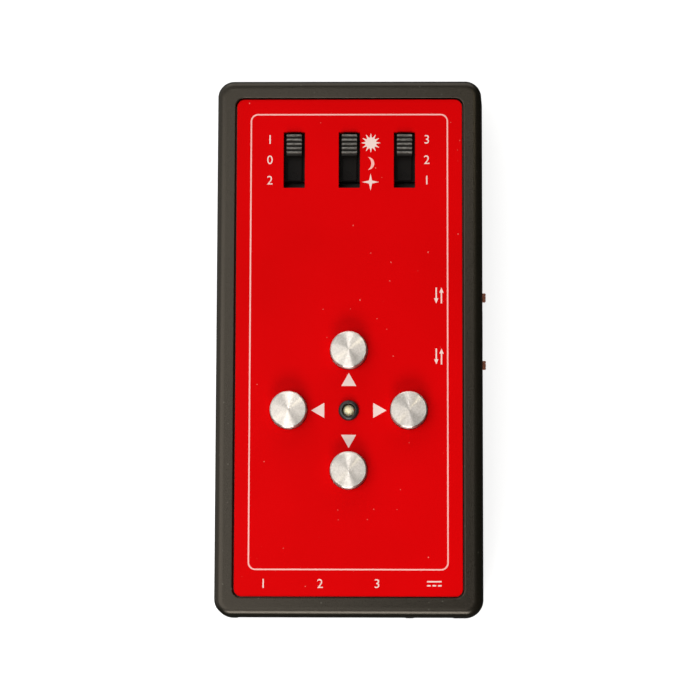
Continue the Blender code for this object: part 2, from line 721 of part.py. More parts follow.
def make_jack(label, x):
    """A six-way modular socket under the board, its latch side towards the board."""
    front = PORT_FACE
    low = UNDER_BOARD - JACK_HEIGHT
    body = block(
        f"jack_{label}",
        (x - JACK_WIDTH / 2, front, low),
        (x + JACK_WIDTH / 2, front + JACK_LENGTH, UNDER_BOARD),
        SOCKET_PLASTIC,
    )
    floor = low + MOUTH_FLOOR
    level = floor + MOUTH_HEIGHT
    back = front + MOUTH_DEPTH
    mouth = block(
        f"mouth_{label}",
        (x - MOUTH_WIDTH / 2, front - OVERCUT, floor), (x + MOUTH_WIDTH / 2, back, level),
    )
    cut(body, mouth)
    for number, (width, height) in enumerate(LATCH_STEPS, 1):
        step = block(
            f"latch_{number}_{label}",
            (x - width / 2, front - OVERCUT, level - OVERCUT), (x + width / 2, back, level + height),
        )
        cut(body, step)
        level += height

    carrier_low = floor + GAP
    carrier_front = back - GAP - CARRIER_THICK
    carrier = block(
        f"contacts_{label}",
        (x - CARRIER_WIDTH / 2, carrier_front, carrier_low),
        (x + CARRIER_WIDTH / 2, back - GAP, carrier_low + CARRIER_HEIGHT),
        SOCKET_PLASTIC,
    )
    carrier.data.materials.append(CONTACT_METAL)
    length = math.hypot(CONTACT_REACH, CONTACT_RISE) + 2 * CONTACT_ROOT
    slope = math.atan2(CONTACT_RISE, CONTACT_REACH)
    for number in range(CONTACT_COUNT):
        offset = (number - (CONTACT_COUNT - 1) / 2) * CONTACT_PITCH
        work = bmesh.new()
        bmesh.ops.create_cube(work, size=1.0)
        bmesh.ops.scale(work, vec=(CONTACT_SIZE, length, CONTACT_SIZE), verts=work.verts)
        bmesh.ops.rotate(work, matrix=Matrix.Rotation(slope, 3, "X"), verts=work.verts)
        level = carrier_low + CONTACT_ROOT + CONTACT_RISE / 2
        middle = (x + offset, carrier_front - CONTACT_REACH / 2, level)
        bmesh.ops.translate(work, vec=middle, verts=work.verts)
        join(carrier, mesh_object(f"contact_{number + 1}_{label}", work, CONTACT_METAL))


def make_power_jack():
    """The barrel socket for the power lead, and its centre pin."""
    x = POWER_CENTRE_X
    front = PORT_FACE
    level = UNDER_BOARD - POWER_AXIS_DROP
    body = block(
        "power_jack",
        (x - POWER_WIDTH / 2, front, UNDER_BOARD - POWER_HEIGHT),
        (x + POWER_WIDTH / 2, front + POWER_LENGTH, UNDER_BOARD),
        SOCKET_PLASTIC,
    )
    bore = drum("power_bore", POWER_BORE_RADIUS, (0.0, 0.0), -OVERCUT, POWER_BORE_DEPTH, sides=28)
    bore.rotation_euler = (-math.pi / 2, 0.0, 0.0)
    bore.location = (x, front, level)
    cut(body, bore)

    pin_length = POWER_BORE_DEPTH - GAP - POWER_PIN_SUNK
    outline = [
        (0.0, pin_length),
        (POWER_PIN_RADIUS - POWER_PIN_TIP, pin_length),
        (POWER_PIN_RADIUS, pin_length - POWER_PIN_TIP),
        (POWER_PIN_RADIUS, 0.0),
        (0.0, 0.0),
    ]
    root = front + POWER_BORE_DEPTH - GAP
    pin = turned("power_pin", outline, (x, root, level), SWITCH_STEEL, sides=16)
    pin.rotation_euler = (math.pi / 2, 0.0, 0.0)


def make_chip(name, centre, size, leads, above):
    """A chip with a row of leads down each long side."""
    x, y = centre
    width, length, height = size
    low = BOARD_SEAT if above else UNDER_BOARD - height
    high = low + height
    body_low = low + CHIP_LIFT if above else low
    body_high = high if above else high - CHIP_LIFT
    chip = block(
        name,
        (x - width / 2, y - length / 2, body_low), (x + width / 2, y + length / 2, body_high),
        CHIP_RESIN,
    )
    chip.data.materials.append(SWITCH_STEEL)
    pitch = length / leads
    middle = (low + high) / 2
    foot = (low, middle) if above else (middle, high)
    for side in (-1, 1):
        for number in range(leads):
            spot = y + (number - (leads - 1) / 2) * pitch
            inner = x + side * (width / 2 - CHIP_LEAD_ROOT)
            outer = x + side * (width / 2 + CHIP_LEAD_REACH)
            lead = block(
                f"{name}_lead_{side}_{number}",
                (min(inner, outer), spot - pitch / 5, foot[0]),
                (max(inner, outer), spot + pitch / 5, foot[1]),
                SWITCH_STEEL,
            )
            join(chip, lead)


def make_electronics():
    """The chips and the larger components on the board."""
    make_chip("microcontroller", MICROCONTROLLER_SPOT, MICROCONTROLLER_SIZE, 8, above=True)
    for label, spot in DRIVER_SPOTS.items():
        make_chip(f"motor_driver_{label}", spot, DRIVER_SIZE, 6, above=False)
    x, y = REGULATOR_CORNER
    block(
        "regulator",
        (x, y, UNDER_BOARD - REGULATOR_HEIGHT),
        (x + REGULATOR_SIDE, y + REGULATOR_SIDE, UNDER_BOARD),
        CHIP_RESIN, corner=TACT_CORNER, steps=1,
    )
    x, y = CRYSTAL_CORNER
    width, depth, height = CRYSTAL_SIZE
    block(
        "crystal",
        (x, y, BOARD_SEAT), (x + width, y + depth, BOARD_SEAT + height),
        SWITCH_STEEL, corner=depth * 0.48, top=TACT_CORNER, steps=3,
    )
    drum(
        "supply_capacitor", CAPACITOR_RADIUS, CAPACITOR_SPOT,
        UNDER_BOARD - CAPACITOR_HEIGHT, UNDER_BOARD, CHIP_RESIN,
    )


def make_screws():
    """Four case screws from the back, and four that hold the board."""
    head_top = COUNTERBORE_DEPTH - GAP
    case_outline = [
        (0.0, CASE_SHANK_LENGTH),
        (CASE_SHANK_RADIUS - SCREW_EDGE, CASE_SHANK_LENGTH),
        (CASE_SHANK_RADIUS, CASE_SHANK_LENGTH - CASE_SCREW_TIP),
        (CASE_SHANK_RADIUS, 0.0),
        (CASE_HEAD_RADIUS, 0.0),
        (CASE_HEAD_RADIUS, SCREW_EDGE - CASE_HEAD_HEIGHT),
        (CASE_HEAD_RADIUS - SCREW_EDGE, -CASE_HEAD_HEIGHT),
        (0.0, -CASE_HEAD_HEIGHT),
    ]
    for number, (x, y) in enumerate(CASE_SCREW_SPOTS, 1):
        turned(f"case_screw_{number}", case_outline, (x, y, head_top), SCREW_STEEL, sides=20)
    board_outline = [
        (0.0, BOARD_SHANK_LENGTH),
        (BOARD_SHANK_RADIUS, BOARD_SHANK_LENGTH - SCREW_EDGE),
        (BOARD_SHANK_RADIUS, 0.0),
        (BOARD_HEAD_RADIUS, 0.0),
        (BOARD_HEAD_RADIUS - SCREW_EDGE, -BOARD_HEAD_HEIGHT),
        (0.0, -BOARD_HEAD_HEIGHT),
    ]
    for number, (x, y) in enumerate(BOARD_SCREW_SPOTS, 1):
        turned(f"board_screw_{number}", board_outline, (x, y, UNDER_BOARD), SCREW_STEEL, sides=16)


make_front_shell()
make_rear_cover()
make_front_plate()
make_circuit_board()
for button, button_spot in BUTTON_SPOTS.items():
    make_button(button, button_spot)
make_led()
for switch, centre_x in SLIDE_CENTRES.items():
    make_slide_switch(switch, centre_x)
for side_switch, centre_y in SIDE_SWITCH_CENTRES.items():
    make_side_switch(side_switch, centre_y)
for port, port_x in PORT_CENTRES.items():
    make_jack(port, port_x)
make_power_jack()
make_electronics()
make_screws()
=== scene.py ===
"""Looks of the telescope hand controller: fine meshes, materials, light and camera.

Everything is in metres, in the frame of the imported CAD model: +Z comes out of the printed
face, +Y points to the end with the slide switches, and the sockets are in the -Y end.
Places come from the CAD nodes' boxes. Sizes that only the looks need are named here.
"""

import math

import bmesh
import bpy
from mathutils import Matrix, Vector


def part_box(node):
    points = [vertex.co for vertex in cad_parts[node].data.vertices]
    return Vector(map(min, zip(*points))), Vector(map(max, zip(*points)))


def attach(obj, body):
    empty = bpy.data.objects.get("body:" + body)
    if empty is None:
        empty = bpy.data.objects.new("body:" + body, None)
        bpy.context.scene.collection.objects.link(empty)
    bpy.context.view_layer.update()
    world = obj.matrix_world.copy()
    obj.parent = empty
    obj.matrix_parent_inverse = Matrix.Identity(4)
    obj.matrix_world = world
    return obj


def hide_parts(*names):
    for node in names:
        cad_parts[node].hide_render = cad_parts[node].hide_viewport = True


MM = 0.001
ROUGHNESS_SWING = 0.07

# The case, by the sections of its two halves.
CASE_DRAFT = 0.6 * MM
CASE_CORNER = 4.7 * MM
WALL = 2.6 * MM
BACK_WALL = 2.2 * MM
FRONT_ROUND = 2.1 * MM
FRONT_DROP = 1.5 * MM
BACK_ROUND = 2.5 * MM
PARTING_ROUND = 0.22 * MM
RECESS_ROUND = 0.25 * MM
RECESS_GAP = 0.3 * MM
RECESS_CORNER = 2.2 * MM
LEDGE_THICK = 2.0 * MM
LEDGE_WIDTH = 2.0 * MM
LIP_HEIGHT = 1.5 * MM
LIP_WALL = 1.0 * MM
LIP_SKIRT = 2.2 * MM
GAP = 0.3 * MM
BORDER = 0.12 * MM
CORNER_STEPS = 20
ROUND_STEPS = 10
MOUTH_CHAMFER = 0.3 * MM
SOCKET_REACH = 6.0 * MM
SIDE_MOUTH_HALF = (2.5 * MM, 1.5 * MM)

# What holds the two halves and the board together, as radii and heights.
CASE_BOSS = 3.5 * MM
CASE_BOSS_FOOT = 9.0 * MM
CASE_BORE = 1.7 * MM
CASE_BORE_TOP = 19.0 * MM
BOARD_BOSS = 2.5 * MM
BOARD_PILOT = 1.4 * MM
PILOT_DEPTH = 4.8 * MM
POST = 3.7 * MM
POST_CLEAR = 0.1 * MM
POST_FOOT = 1.2 * MM
POST_TOP = 8.7 * MM
POST_ROOM_TOP = 20.0 * MM
POST_BORE_FOOT = 3.0 * MM
COUNTERBORE = 3.1 * MM
COUNTERBORE_DEPTH = 4.0 * MM
BORE_SIDES = 24

# The printed plate.
PLATE_CORNER = 1.9 * MM
PLATE_EDGE = 0.16 * MM
HOLE_EDGE = 0.08 * MM
BUTTON_HOLE_RADIUS = 4.75 * MM
CAP_RADIUS = 4.6 * MM
LAMP_HOLE_RADIUS = 2.5 * MM
SLOT_WIDTH = 5.35 * MM
SLOT_LENGTH = 14.3 * MM
SLOT_CORNER = 0.25 * MM
SLOT_CENTRE_Y = 47.1 * MM
INK = 0.02 * MM

# The turned caps.
CAP_SIDES = 120
CAP_CHAMFER = 0.32 * MM
CAP_CROWN = 0.26 * MM
GROOVE_PITCH = 0.13 * MM
GROOVE_DEPTH = 0.006 * MM
CENTRE_DIMPLE = 0.14 * MM
FLANGE_THICK = 0.9 * MM
CAP_BORE_RADIUS = 2.1 * MM
CAP_BORE_DEPTH = 1.4 * MM

# The slide switches.
KNOB_WIDTH = 3.8 * MM
KNOB_LENGTH = 5.4 * MM
KNOB_RIBS = 5
RIB_DEPTH = 0.55 * MM
SKIRT_WIDTH = 3.6 * MM
EJECTOR_RADIUS = 0.85 * MM
EJECTOR_DROP = 4.5 * MM
EJECTOR_DEPTH = 0.12 * MM
SKIRT_HALF = 8.5 * MM
SKIRT_DROP = 0.9 * MM

# The lamp and its bezel.
LAMP_RADIUS = 1.5 * MM
LAMP_FOOT = 1.9 * MM
LAMP_LEG = 0.25 * MM
LAMP_LEG_PLACE = 1.0 * MM
BEZEL_BORE = 1.65 * MM
BEZEL_SLEEVE = 2.2 * MM
BEZEL_ROUND = 0.75 * MM
BEZEL_EDGE = 0.15 * MM

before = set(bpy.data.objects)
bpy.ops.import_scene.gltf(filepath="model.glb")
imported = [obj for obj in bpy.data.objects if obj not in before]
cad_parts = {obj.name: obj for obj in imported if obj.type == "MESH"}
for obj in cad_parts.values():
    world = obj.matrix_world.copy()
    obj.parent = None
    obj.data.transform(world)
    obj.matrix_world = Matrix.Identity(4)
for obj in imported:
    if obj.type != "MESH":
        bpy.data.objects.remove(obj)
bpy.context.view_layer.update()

PIECES = bpy.data.collections.new("pieces")
STAGE = bpy.data.collections.new("stage")
bpy.context.scene.collection.children.link(PIECES)
bpy.context.scene.collection.children.link(STAGE)


# ---------------------------------------------------------------- materials


def add(tree, kind, values=None, links=None, **settings):
    """A node with its settings, the values of some sockets, and links into others."""
    made = tree.nodes.new(kind)
    for name, value in settings.items():
        setattr(made, name, value)
    for socket, value in (values or {}).items():
        made.inputs[socket].default_value = value
    for socket, source in (links or {}).items():
        tree.links.new(source, made.inputs[socket])
    return made


def start(name, values):
    """A material, its node tree and its Principled shader, with the constant values set."""
    material = bpy.data.materials.new(name)
    material.use_nodes = True
    tree = material.node_tree
    shader = tree.nodes["Principled BSDF"]
    for socket, value in values.items():
        shader.inputs[socket].default_value = value
    return material, tree, shader


def ramp(tree, source, stops):
    """A colour ramp of (position, colour) stops, driven by a factor."""
    made = add(tree, "ShaderNodeValToRGB", links={"Fac": source})
    elements = made.color_ramp.elements
    while len(elements) < len(stops):
        elements.new(1.0)
    for element, (position, colour) in zip(elements, stops):
        element.position = position
        element.color = (*colour, 1.0)
    return made.outputs["Color"]


def spread(tree, source, low, high):
    """Maps a factor from 0..1 to low..high."""
    made = add(
        tree, "ShaderNodeMapRange", {"To Min": low, "To Max": high}, {"Value": source}
    )
    return made.outputs["Result"]


def shade(colour, amount):
    return tuple(channel * amount for channel in colour)


def noise(tree, place, scale, detail=2.0, roughness=0.5, output="Fac"):
    """Noise of a scale, in repeats to the metre."""
    return add(
        tree, "ShaderNodeTexNoise", {"Scale": scale, "Detail": detail, "Roughness": roughness},
        {"Vector": place},
    ).outputs[output]


def times(tree, first, second):
    """The product of two factors."""
    return add(
        tree, "ShaderNodeMath", links={0: first, 1: second}, operation="MULTIPLY"
    ).outputs[0]


def object_place(tree):
    return add(tree, "ShaderNodeTexCoord").outputs["Object"]


def flecks(tree, place, scale, channel, rare, near):
    """Round dots in the few cells of a pattern that one channel of its colour picks.

    rare is the range of that channel over which dots appear, and near is the range of
    distance over which a dot fades.
    """
    cells = add(
        tree, "ShaderNodeTexVoronoi", {"Scale": scale, "Randomness": 1.0}, {"Vector": place}
    )
    chosen = add(
        tree, "ShaderNodeSeparateColor", links={"Color": cells.outputs["Color"]}
    ).outputs[channel]
    black = (0.0, 0.0, 0.0)
    white = (1.0, 1.0, 1.0)
    picked = ramp(tree, chosen, [(rare[0], black), (rare[1], white)])
    inside = ramp(tree, cells.outputs["Distance"], [(near[0], white), (near[1], black)])
    return times(tree, picked, inside)


def surface(tree, shader, tone, uneven, rough, height, depth, strength=1.0):
    """Links a colour, a roughness over a range by a factor, and a bump of a depth."""
    tree.links.new(tone, shader.inputs["Base Color"])
    tree.links.new(spread(tree, uneven, *rough), shader.inputs["Roughness"])
    bump = add(
        tree, "ShaderNodeBump", {"Strength": strength, "Distance": depth}, {"Height": height}
    )
    tree.links.new(bump.outputs["Normal"], shader.inputs["Normal"])


def moulded(name, colour, roughness, grain, height, variety=0.12, values=None):
    """A surface with a fine grain, a slow drift of colour, and uneven roughness."""
    material, tree, shader = start(name, values or {})
    place = object_place(tree)
    fine = noise(tree, place, 1 / grain, 4.0, 0.6)
    both = times(tree, fine, noise(tree, place, 90.0))
    stops = [(0.12, shade(colour, 1 - variety)), (0.42, shade(colour, 1 + variety))]
    rough = (roughness - ROUGHNESS_SWING, roughness + ROUGHNESS_SWING)
    surface(tree, shader, ramp(tree, both, stops), fine, rough, fine, height)
    return material


def make_case_plastic():
    """Warm dark grey, spark-eroded texture with a few pale specks in it."""
    material, tree, shader = start(
        "case_plastic", {"Specular IOR Level": 0.46, "Specular Tint": (1.0, 0.87, 0.72, 1.0)}
    )
    place = object_place(tree)
    fine = noise(tree, place, 5200.0, 3.0, 0.65)
    slow = noise(tree, place, 60.0, 3.0)
    tone = ramp(
        tree, slow, [(0.3, (0.0058, 0.0054, 0.0034)), (0.7, (0.0072, 0.0060, 0.0040))]
    )
    dot = flecks(tree, place, 900.0, "Red", (0.90, 0.99), (0.10, 0.22))
    grain = ramp(
        tree, fine, [(0.32, (0.72, 0.72, 0.72)), (0.68, (1.28, 1.28, 1.28))]
    )
    body = add(
        tree, "ShaderNodeMix", {0: 1.0}, {6: tone, 7: grain},
        data_type="RGBA", blend_type="MULTIPLY",
    ).outputs[2]
    whole = add(
        tree, "ShaderNodeMix", {7: (0.07, 0.065, 0.055, 1.0)}, {0: dot, 6: body},
        data_type="RGBA",
    ).outputs[2]
    surface(tree, shader, whole, fine, (0.22, 0.36), fine, 0.010 * MM)
    return material


def make_red_plate():
    """Smooth red coat with a slight orange peel and a scatter of dust."""
    material, tree, shader = start("red_plate", {"Specular IOR Level": 0.02})
    place = object_place(tree)
    peel = noise(tree, place, 700.0)
    drift = noise(tree, place, 35.0)
    coat = ramp(tree, drift, [(0.3, (0.59, 0.0, 0.0006)), (0.7, (0.64, 0.0, 0.0010))])
    wobble = noise(tree, place, 2500.0, 1.0, output="Color")
    bent = add(
        tree, "ShaderNodeMix", {0: 0.0004}, {4: place, 5: wobble}, data_type="VECTOR"
    ).outputs[1]
    dot = flecks(tree, bent, 420.0, "Green", (0.72, 0.95), (0.030, 0.075))
    whole = add(
        tree, "ShaderNodeMix", {7: (0.85, 0.30, 0.24, 1.0)}, {0: dot, 6: coat},
        data_type="RGBA",
    ).outputs[2]
    surface(tree, shader, whole, peel, (0.36, 0.46), peel, 0.004 * MM)
    return material


def make_switch_plastic():
    """Black plastic, paler towards the knobs' tips: painted light on the raised ribs, broken by
    streaks of wear and dust.
    """
    material, tree, shader = start("switch_plastic", {"Specular IOR Level": 0.10})
    place = object_place(tree)
    height = add(tree, "ShaderNodeSeparateXYZ", links={"Vector": place}).outputs["Z"]
    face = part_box("front_plate")[1].z
    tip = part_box("slider_tracking")[1].z
    # Paler with height up to the knobs' tips: painted light on the tops, mixed with streaks of
    # wear and dust.
    reach = add(
        tree, "ShaderNodeMapRange", {"From Min": face + 0.45 * MM, "From Max": tip},
        {"Value": height},
    ).outputs["Result"]
    along = add(
        tree, "ShaderNodeVectorMath", {1: (0.25, 1.0, 1.0)}, {0: place}, operation="MULTIPLY"
    ).outputs[0]
    streaks = noise(tree, along, 3500.0, 3.0, 0.7)
    tone = ramp(tree, times(tree, reach, streaks), [
        (0.0, (0.0060, 0.0050, 0.0042)), (0.35, (0.060, 0.055, 0.048)),
        (0.62, (0.23, 0.22, 0.20)),
    ])
    surface(tree, shader, tone, streaks, (0.42, 0.60), streaks, 0.008 * MM)
    return material


def make_turned_aluminium():
    """Faced on a lathe: rings of unequal brightness round the middle of each piece."""
    material, tree, shader = start(
        "turned_aluminium", {"Metallic": 1.0, "Anisotropic": 0.97, "Anisotropic Rotation": 0.25}
    )
    place = add(tree, "ShaderNodeTexCoord")
    centred = add(
        tree, "ShaderNodeVectorMath", {1: (0.5, 0.5, 0.5)},
        {0: place.outputs["Generated"]}, operation="SUBTRACT",
    ).outputs[0]
    flat = add(
        tree, "ShaderNodeVectorMath", {1: (1.0, 1.0, 0.0)}, {0: centred}, operation="MULTIPLY"
    ).outputs[0]
    radius = add(
        tree, "ShaderNodeVectorMath", links={0: flat}, operation="LENGTH"
    ).outputs["Value"]
    along = add(tree, "ShaderNodeCombineXYZ", links={0: radius}).outputs[0]
    rings = noise(tree, along, 110.0, 3.0, 0.7)
    mottle = noise(tree, place.outputs["Object"], 2200.0, 3.0, 0.6)
    both = add(tree, "ShaderNodeMath", links={0: rings, 1: mottle}).outputs[0]
    half = add(
        tree, "ShaderNodeMath", {1: 0.5}, {0: both}, operation="MULTIPLY"
    ).outputs[0]
    tone = ramp(tree, half, [(0.36, (0.50, 0.46, 0.41)), (0.62, (0.76, 0.71, 0.66))])
    surface(tree, shader, tone, half, (0.25, 0.37), rings, 0.003 * MM, 0.8)
    around = add(tree, "ShaderNodeTangent", direction_type="RADIAL", axis="Z")
    tree.links.new(around.outputs["Tangent"], shader.inputs["Tangent"])
    return material


def make_lens_plastic():
    """Cream diffused epoxy, a little cloudy inside."""
    material, tree, shader = start(
        "lens_plastic",
        {
            "Subsurface Weight": 0.35, "Subsurface Radius": (1.0, 0.8, 0.5),
            "Subsurface Scale": 0.8 * MM, "Specular IOR Level": 0.5,
        },
    )
    cloud = noise(tree, object_place(tree), 900.0, 3.0)
    tone = ramp(tree, cloud, [(0.3, (0.86, 0.74, 0.46)), (0.7, (0.95, 0.86, 0.60))])
    surface(tree, shader, tone, cloud, (0.22, 0.38), cloud, 0.01 * MM, 0.5)
    return material


def make_board_resin():
    """Green solder resist over copper tracks, which show as paler bands."""
    material, tree, shader = start("board_resin", {"Coat Weight": 0.3})
    place = object_place(tree)
    tracks = add(
        tree, "ShaderNodeTexBrick", {"Scale": 170.0, "Mortar Size": 0.05}, {"Vector": place}
    ).outputs["Fac"]
    weave = noise(tree, place, 1800.0)
    tone = ramp(tree, tracks, [(0.2, (0.012, 0.085, 0.032)), (0.8, (0.035, 0.17, 0.07))])
    surface(tree, shader, tone, weave, (0.28, 0.42), tracks, 0.02 * MM, 0.7)
    return material


METAL = {"Metallic": 1.0}
CASE_PLASTIC = make_case_plastic()
RED_PLATE = make_red_plate()
PRINT_INK = moulded("print_ink", (0.80, 0.60, 0.55), 0.5, 0.15 * MM, 0.002 * MM, 0.05)
THIN_INK = moulded("thin_ink", (0.86, 0.42, 0.38), 0.5, 0.15 * MM, 0.002 * MM, 0.05)
TURNED_ALUMINIUM = make_turned_aluminium()
SWITCH_PLASTIC = make_switch_plastic()
BEZEL_PLASTIC = moulded("bezel_plastic", (0.012, 0.012, 0.012), 0.36, 0.3 * MM, 0.004 * MM)
SIDE_KNOB_PLASTIC = moulded(
    "side_knob_plastic", (0.42, 0.14, 0.08), 0.45, 0.2 * MM, 0.006 * MM
)
SWITCH_STEEL = moulded(
    "switch_steel", (0.60, 0.60, 0.58), 0.32, 0.4 * MM, 0.003 * MM, 0.08, METAL
)
SWITCH_BASE = moulded("switch_base", (0.012, 0.008, 0.005), 0.6, 0.25 * MM, 0.01 * MM, 0.2)
BOARD_RESIN = make_board_resin()
LENS_PLASTIC = make_lens_plastic()
SOCKET_PLASTIC = moulded("socket_plastic", (0.02, 0.02, 0.021), 0.36, 0.35 * MM, 0.005 * MM)
CONTACT_METAL = moulded(
    "contact_metal", (0.85, 0.62, 0.24), 0.22, 0.3 * MM, 0.002 * MM, 0.06, METAL
)
CHIP_RESIN = moulded("chip_resin", (0.02, 0.02, 0.02), 0.6, 0.12 * MM, 0.01 * MM, 0.25)
SCREW_STEEL = moulded(
    "screw_steel", (0.30, 0.29, 0.28), 0.36, 0.3 * MM, 0.004 * MM, 0.12, METAL
)


# ---------------------------------------------------------------- mesh tools


def place_piece(name, work, material, body=None, nodes=(), angle=35):
    """Makes an object of a finished bmesh, smooth up to an angle, and ties it to the frame."""
    bmesh.ops.recalc_face_normals(work, faces=work.faces)
    mesh = bpy.data.meshes.new(name)
    work.to_mesh(mesh)
    work.free()
    mesh.materials.append(material)
    mesh.shade_smooth()
    mesh.set_sharp_from_angle(angle=math.radians(angle))
    piece = bpy.data.objects.new(name, mesh)
    PIECES.objects.link(piece)
    if body:
        tie(piece, body, nodes)
    return piece


def tie(piece, body, nodes):
    """Ties a piece to the body it moves with, and hides the CAD nodes that it stands for."""
    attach(piece, body)
    if nodes:
        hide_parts(*nodes)


def combine(piece, tools, operation):
    """Cuts or joins other objects into a piece, and removes them."""
    for tool in tools:
        change = piece.modifiers.new(tool.name, "BOOLEAN")
        change.operation = operation
        change.solver = "EXACT"
        change.object = tool
    bpy.context.view_layer.update()
    done = piece.evaluated_get(bpy.context.evaluated_depsgraph_get())
    mesh = bpy.data.meshes.new_from_object(done)
    piece.modifiers.clear()
    piece.data = mesh
    for tool in tools:
        bpy.data.objects.remove(tool, do_unlink=True)


def level_normals(piece, angle=35):
    """Keeps the flat faces flat where they run into roundings."""
    piece.data.shade_smooth()
    piece.data.set_sharp_from_angle(angle=math.radians(angle))
    change = piece.modifiers.new("level", "WEIGHTED_NORMAL")
    change.keep_sharp = True
    change.weight = 80


def ring(half_x, half_y, corner, z, centre=(0.0, 0.0), steps=CORNER_STEPS):
    """Points round a rectangle with round corners, anticlockwise."""
    points = []
    for quarter, (side_x, side_y) in enumerate(((1, 1), (-1, 1), (-1, -1), (1, -1))):
        x = centre[0] + side_x * (half_x - corner)
        y = centre[1] + side_y * (half_y - corner)
        for step in range(steps + 1):
            angle = (quarter + step / steps) * math.pi / 2
            points.append((x + corner * math.cos(angle), y + corner * math.sin(angle), z))
    return points


def loft(work, rings, closed=False, bottom=False, top=False):
    """Joins rings of equal count with faces; closed joins the last to the first."""
    rows = [[work.verts.new(point) for point in points] for points in rings]
    count = len(rows[0])
    pairs = list(zip(rows, rows[1:]))
    if closed:
        pairs.append((rows[-1], rows[0]))
    for first, second in pairs:
        for here in range(count):
            there = (here + 1) % count
            work.faces.new((first[here], first[there], second[there], second[here]))
    if bottom:
        work.faces.new(reversed(rows[0]))
    if top:
        work.faces.new(rows[-1])
    return rows


def lathe(work, profile, spot=(0.0, 0.0), sides=64, closed=False):
    """A turned body. The profile is (radius, height), up its outer side; closed makes a ring."""
    rows = []
    for radius, height in profile:
        if radius == 0:
            rows.append([work.verts.new((spot[0], spot[1], height))])
            continue
        rows.append([
            work.verts.new((
                spot[0] + radius * math.cos(math.tau * step / sides),
                spot[1] + radius * math.sin(math.tau * step / sides),
                height,
            ))
            for step in range(sides)
        ])
    pairs = list(zip(rows, rows[1:]))
    if closed:
        pairs.append((rows[-1], rows[0]))
    for first, second in pairs:
        for here in range(sides):
            there = (here + 1) % sides
            corners = [
                first[here % len(first)], first[there % len(first)],
                second[there % len(second)], second[here % len(second)],
            ]
            work.faces.new(list(dict.fromkeys(corners)))


def arc(radius, steps=ROUND_STEPS):
    """(inset, rise) along a quarter circle, from an upright side to a flat top."""
    for step in range(steps + 1):
        angle = step / steps * math.pi / 2
        yield radius * (1 - math.cos(angle)), radius * math.sin(angle)


def rounded_box(work, low, high, edge, segments=3):
    """A box with all its edges rounded."""
    made = bmesh.ops.create_cube(work, size=1.0)["verts"]
    low = Vector(low)
    high = Vector(high)
    bmesh.ops.scale(work, vec=high - low, verts=made)
    bmesh.ops.translate(work, vec=(low + high) / 2, verts=made)
    edges = list({line for vert in made for line in vert.link_edges})
    bmesh.ops.bevel(
        work, geom=edges, offset=edge, segments=segments, profile=0.5, affect="EDGES"
    )


def box_tool(name, low, high):
    """A plain box, to cut or join with."""
    work = bmesh.new()
    made = bmesh.ops.create_cube(work, size=1.0)["verts"]
    bmesh.ops.scale(work, vec=Vector(high) - Vector(low), verts=made)
    bmesh.ops.translate(work, vec=(Vector(low) + Vector(high)) / 2, verts=made)
    return place_piece(name, work, CASE_PLASTIC)


def drum_tool(name, spot, profile, sides=48, material=None):
    """A turned solid, to cut or join with."""
    work = bmesh.new()
    lathe(work, profile, spot, sides)
    return place_piece(name, work, material or CASE_PLASTIC)


def straight_drum(radius, low, high):
    return [(0, low), (radius, low), (radius, high), (0, high)]


def flared_hole(radius, low, high, flare):
    """The profile of a hole whose upper edge, at a height, is broken."""
    return [
        (0, low), (radius, low), (radius, high - flare), (radius + 2 * flare, high + flare),
        (0, high + flare),
    ]


def mouth_tool(name, low, high, face, axis, chamfer=MOUTH_CHAMFER, corner=0.4 * MM):
    """Cuts an opening through a wall, with round corners and a chamfered outer edge.

    The opening runs along an axis, "x" or "-y", and its outer edge is at the face.
    """
    low = Vector(low)
    high = Vector(high)
    if axis == "x":
        across, depth = (low.y, high.y), (low.x, face)
    else:
        across, depth = (low.x, high.x), (high.y, face)
    centre = (sum(across) / 2, (low.z + high.z) / 2)
    half_a = abs(across[1] - across[0]) / 2
    half_z = (high.z - low.z) / 2
    sign = 1 if depth[1] > depth[0] else -1
    outside = depth[1] + sign * chamfer
    levels = [
        (0.0, depth[0]), (0.0, depth[1] - sign * chamfer), (2 * chamfer, outside),
        (2 * chamfer, outside + sign * MM),
    ]
    rings = []
    for grow, level in levels:
        flat = ring(half_a + grow, half_z + grow, corner + grow, level, centre, steps=4)
        if axis == "x":
            rings.append([(w, u, v) for u, v, w in flat])
        else:
            rings.append([(u, w, v) for u, v, w in flat])
    work = bmesh.new()
    loft(work, rings, bottom=True, top=True)
    return place_piece(name, work, CASE_PLASTIC)


# ---------------------------------------------------------------- the case


def case_openings():
    """Cutters for the sockets in the -Y end and the switches in the +X side."""
    case_low, case_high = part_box("front_shell")
    jacks = [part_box(f"jack_{label}") for label in ("ra", "dec", "guide")]
    power_low, power_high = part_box("power_jack")
    board_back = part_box("circuit_board")[0].z
    yield mouth_tool(
        "jack_mouth",
        (jacks[0][0].x - GAP, jacks[0][0].y, jacks[0][0].z - GAP),
        (jacks[2][1].x + GAP, jacks[0][0].y + SOCKET_REACH, board_back),
        case_low.y, "-y",
    )
    yield mouth_tool(
        "power_mouth",
        (power_low.x - GAP, power_low.y, power_low.z - GAP),
        (power_high.x + GAP, power_low.y + SOCKET_REACH, board_back),
        case_low.y, "-y",
    )
    for label in ("invert_ra", "invert_dec"):
        switch_low, switch_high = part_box(f"side_switch_{label}")
        knob_low, knob_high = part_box(f"side_knob_{label}")
        middle_y = (switch_low.y + switch_high.y) / 2
        middle_z = (knob_low.z + knob_high.z) / 2
        half_y, half_z = SIDE_MOUTH_HALF
        yield mouth_tool(
            f"{label}_mouth",
            (switch_high.x, middle_y - half_y, middle_z - half_z),
            (case_high.x, middle_y + half_y, middle_z + half_z),
            case_high.x, "x", chamfer=0.25 * MM,
        )


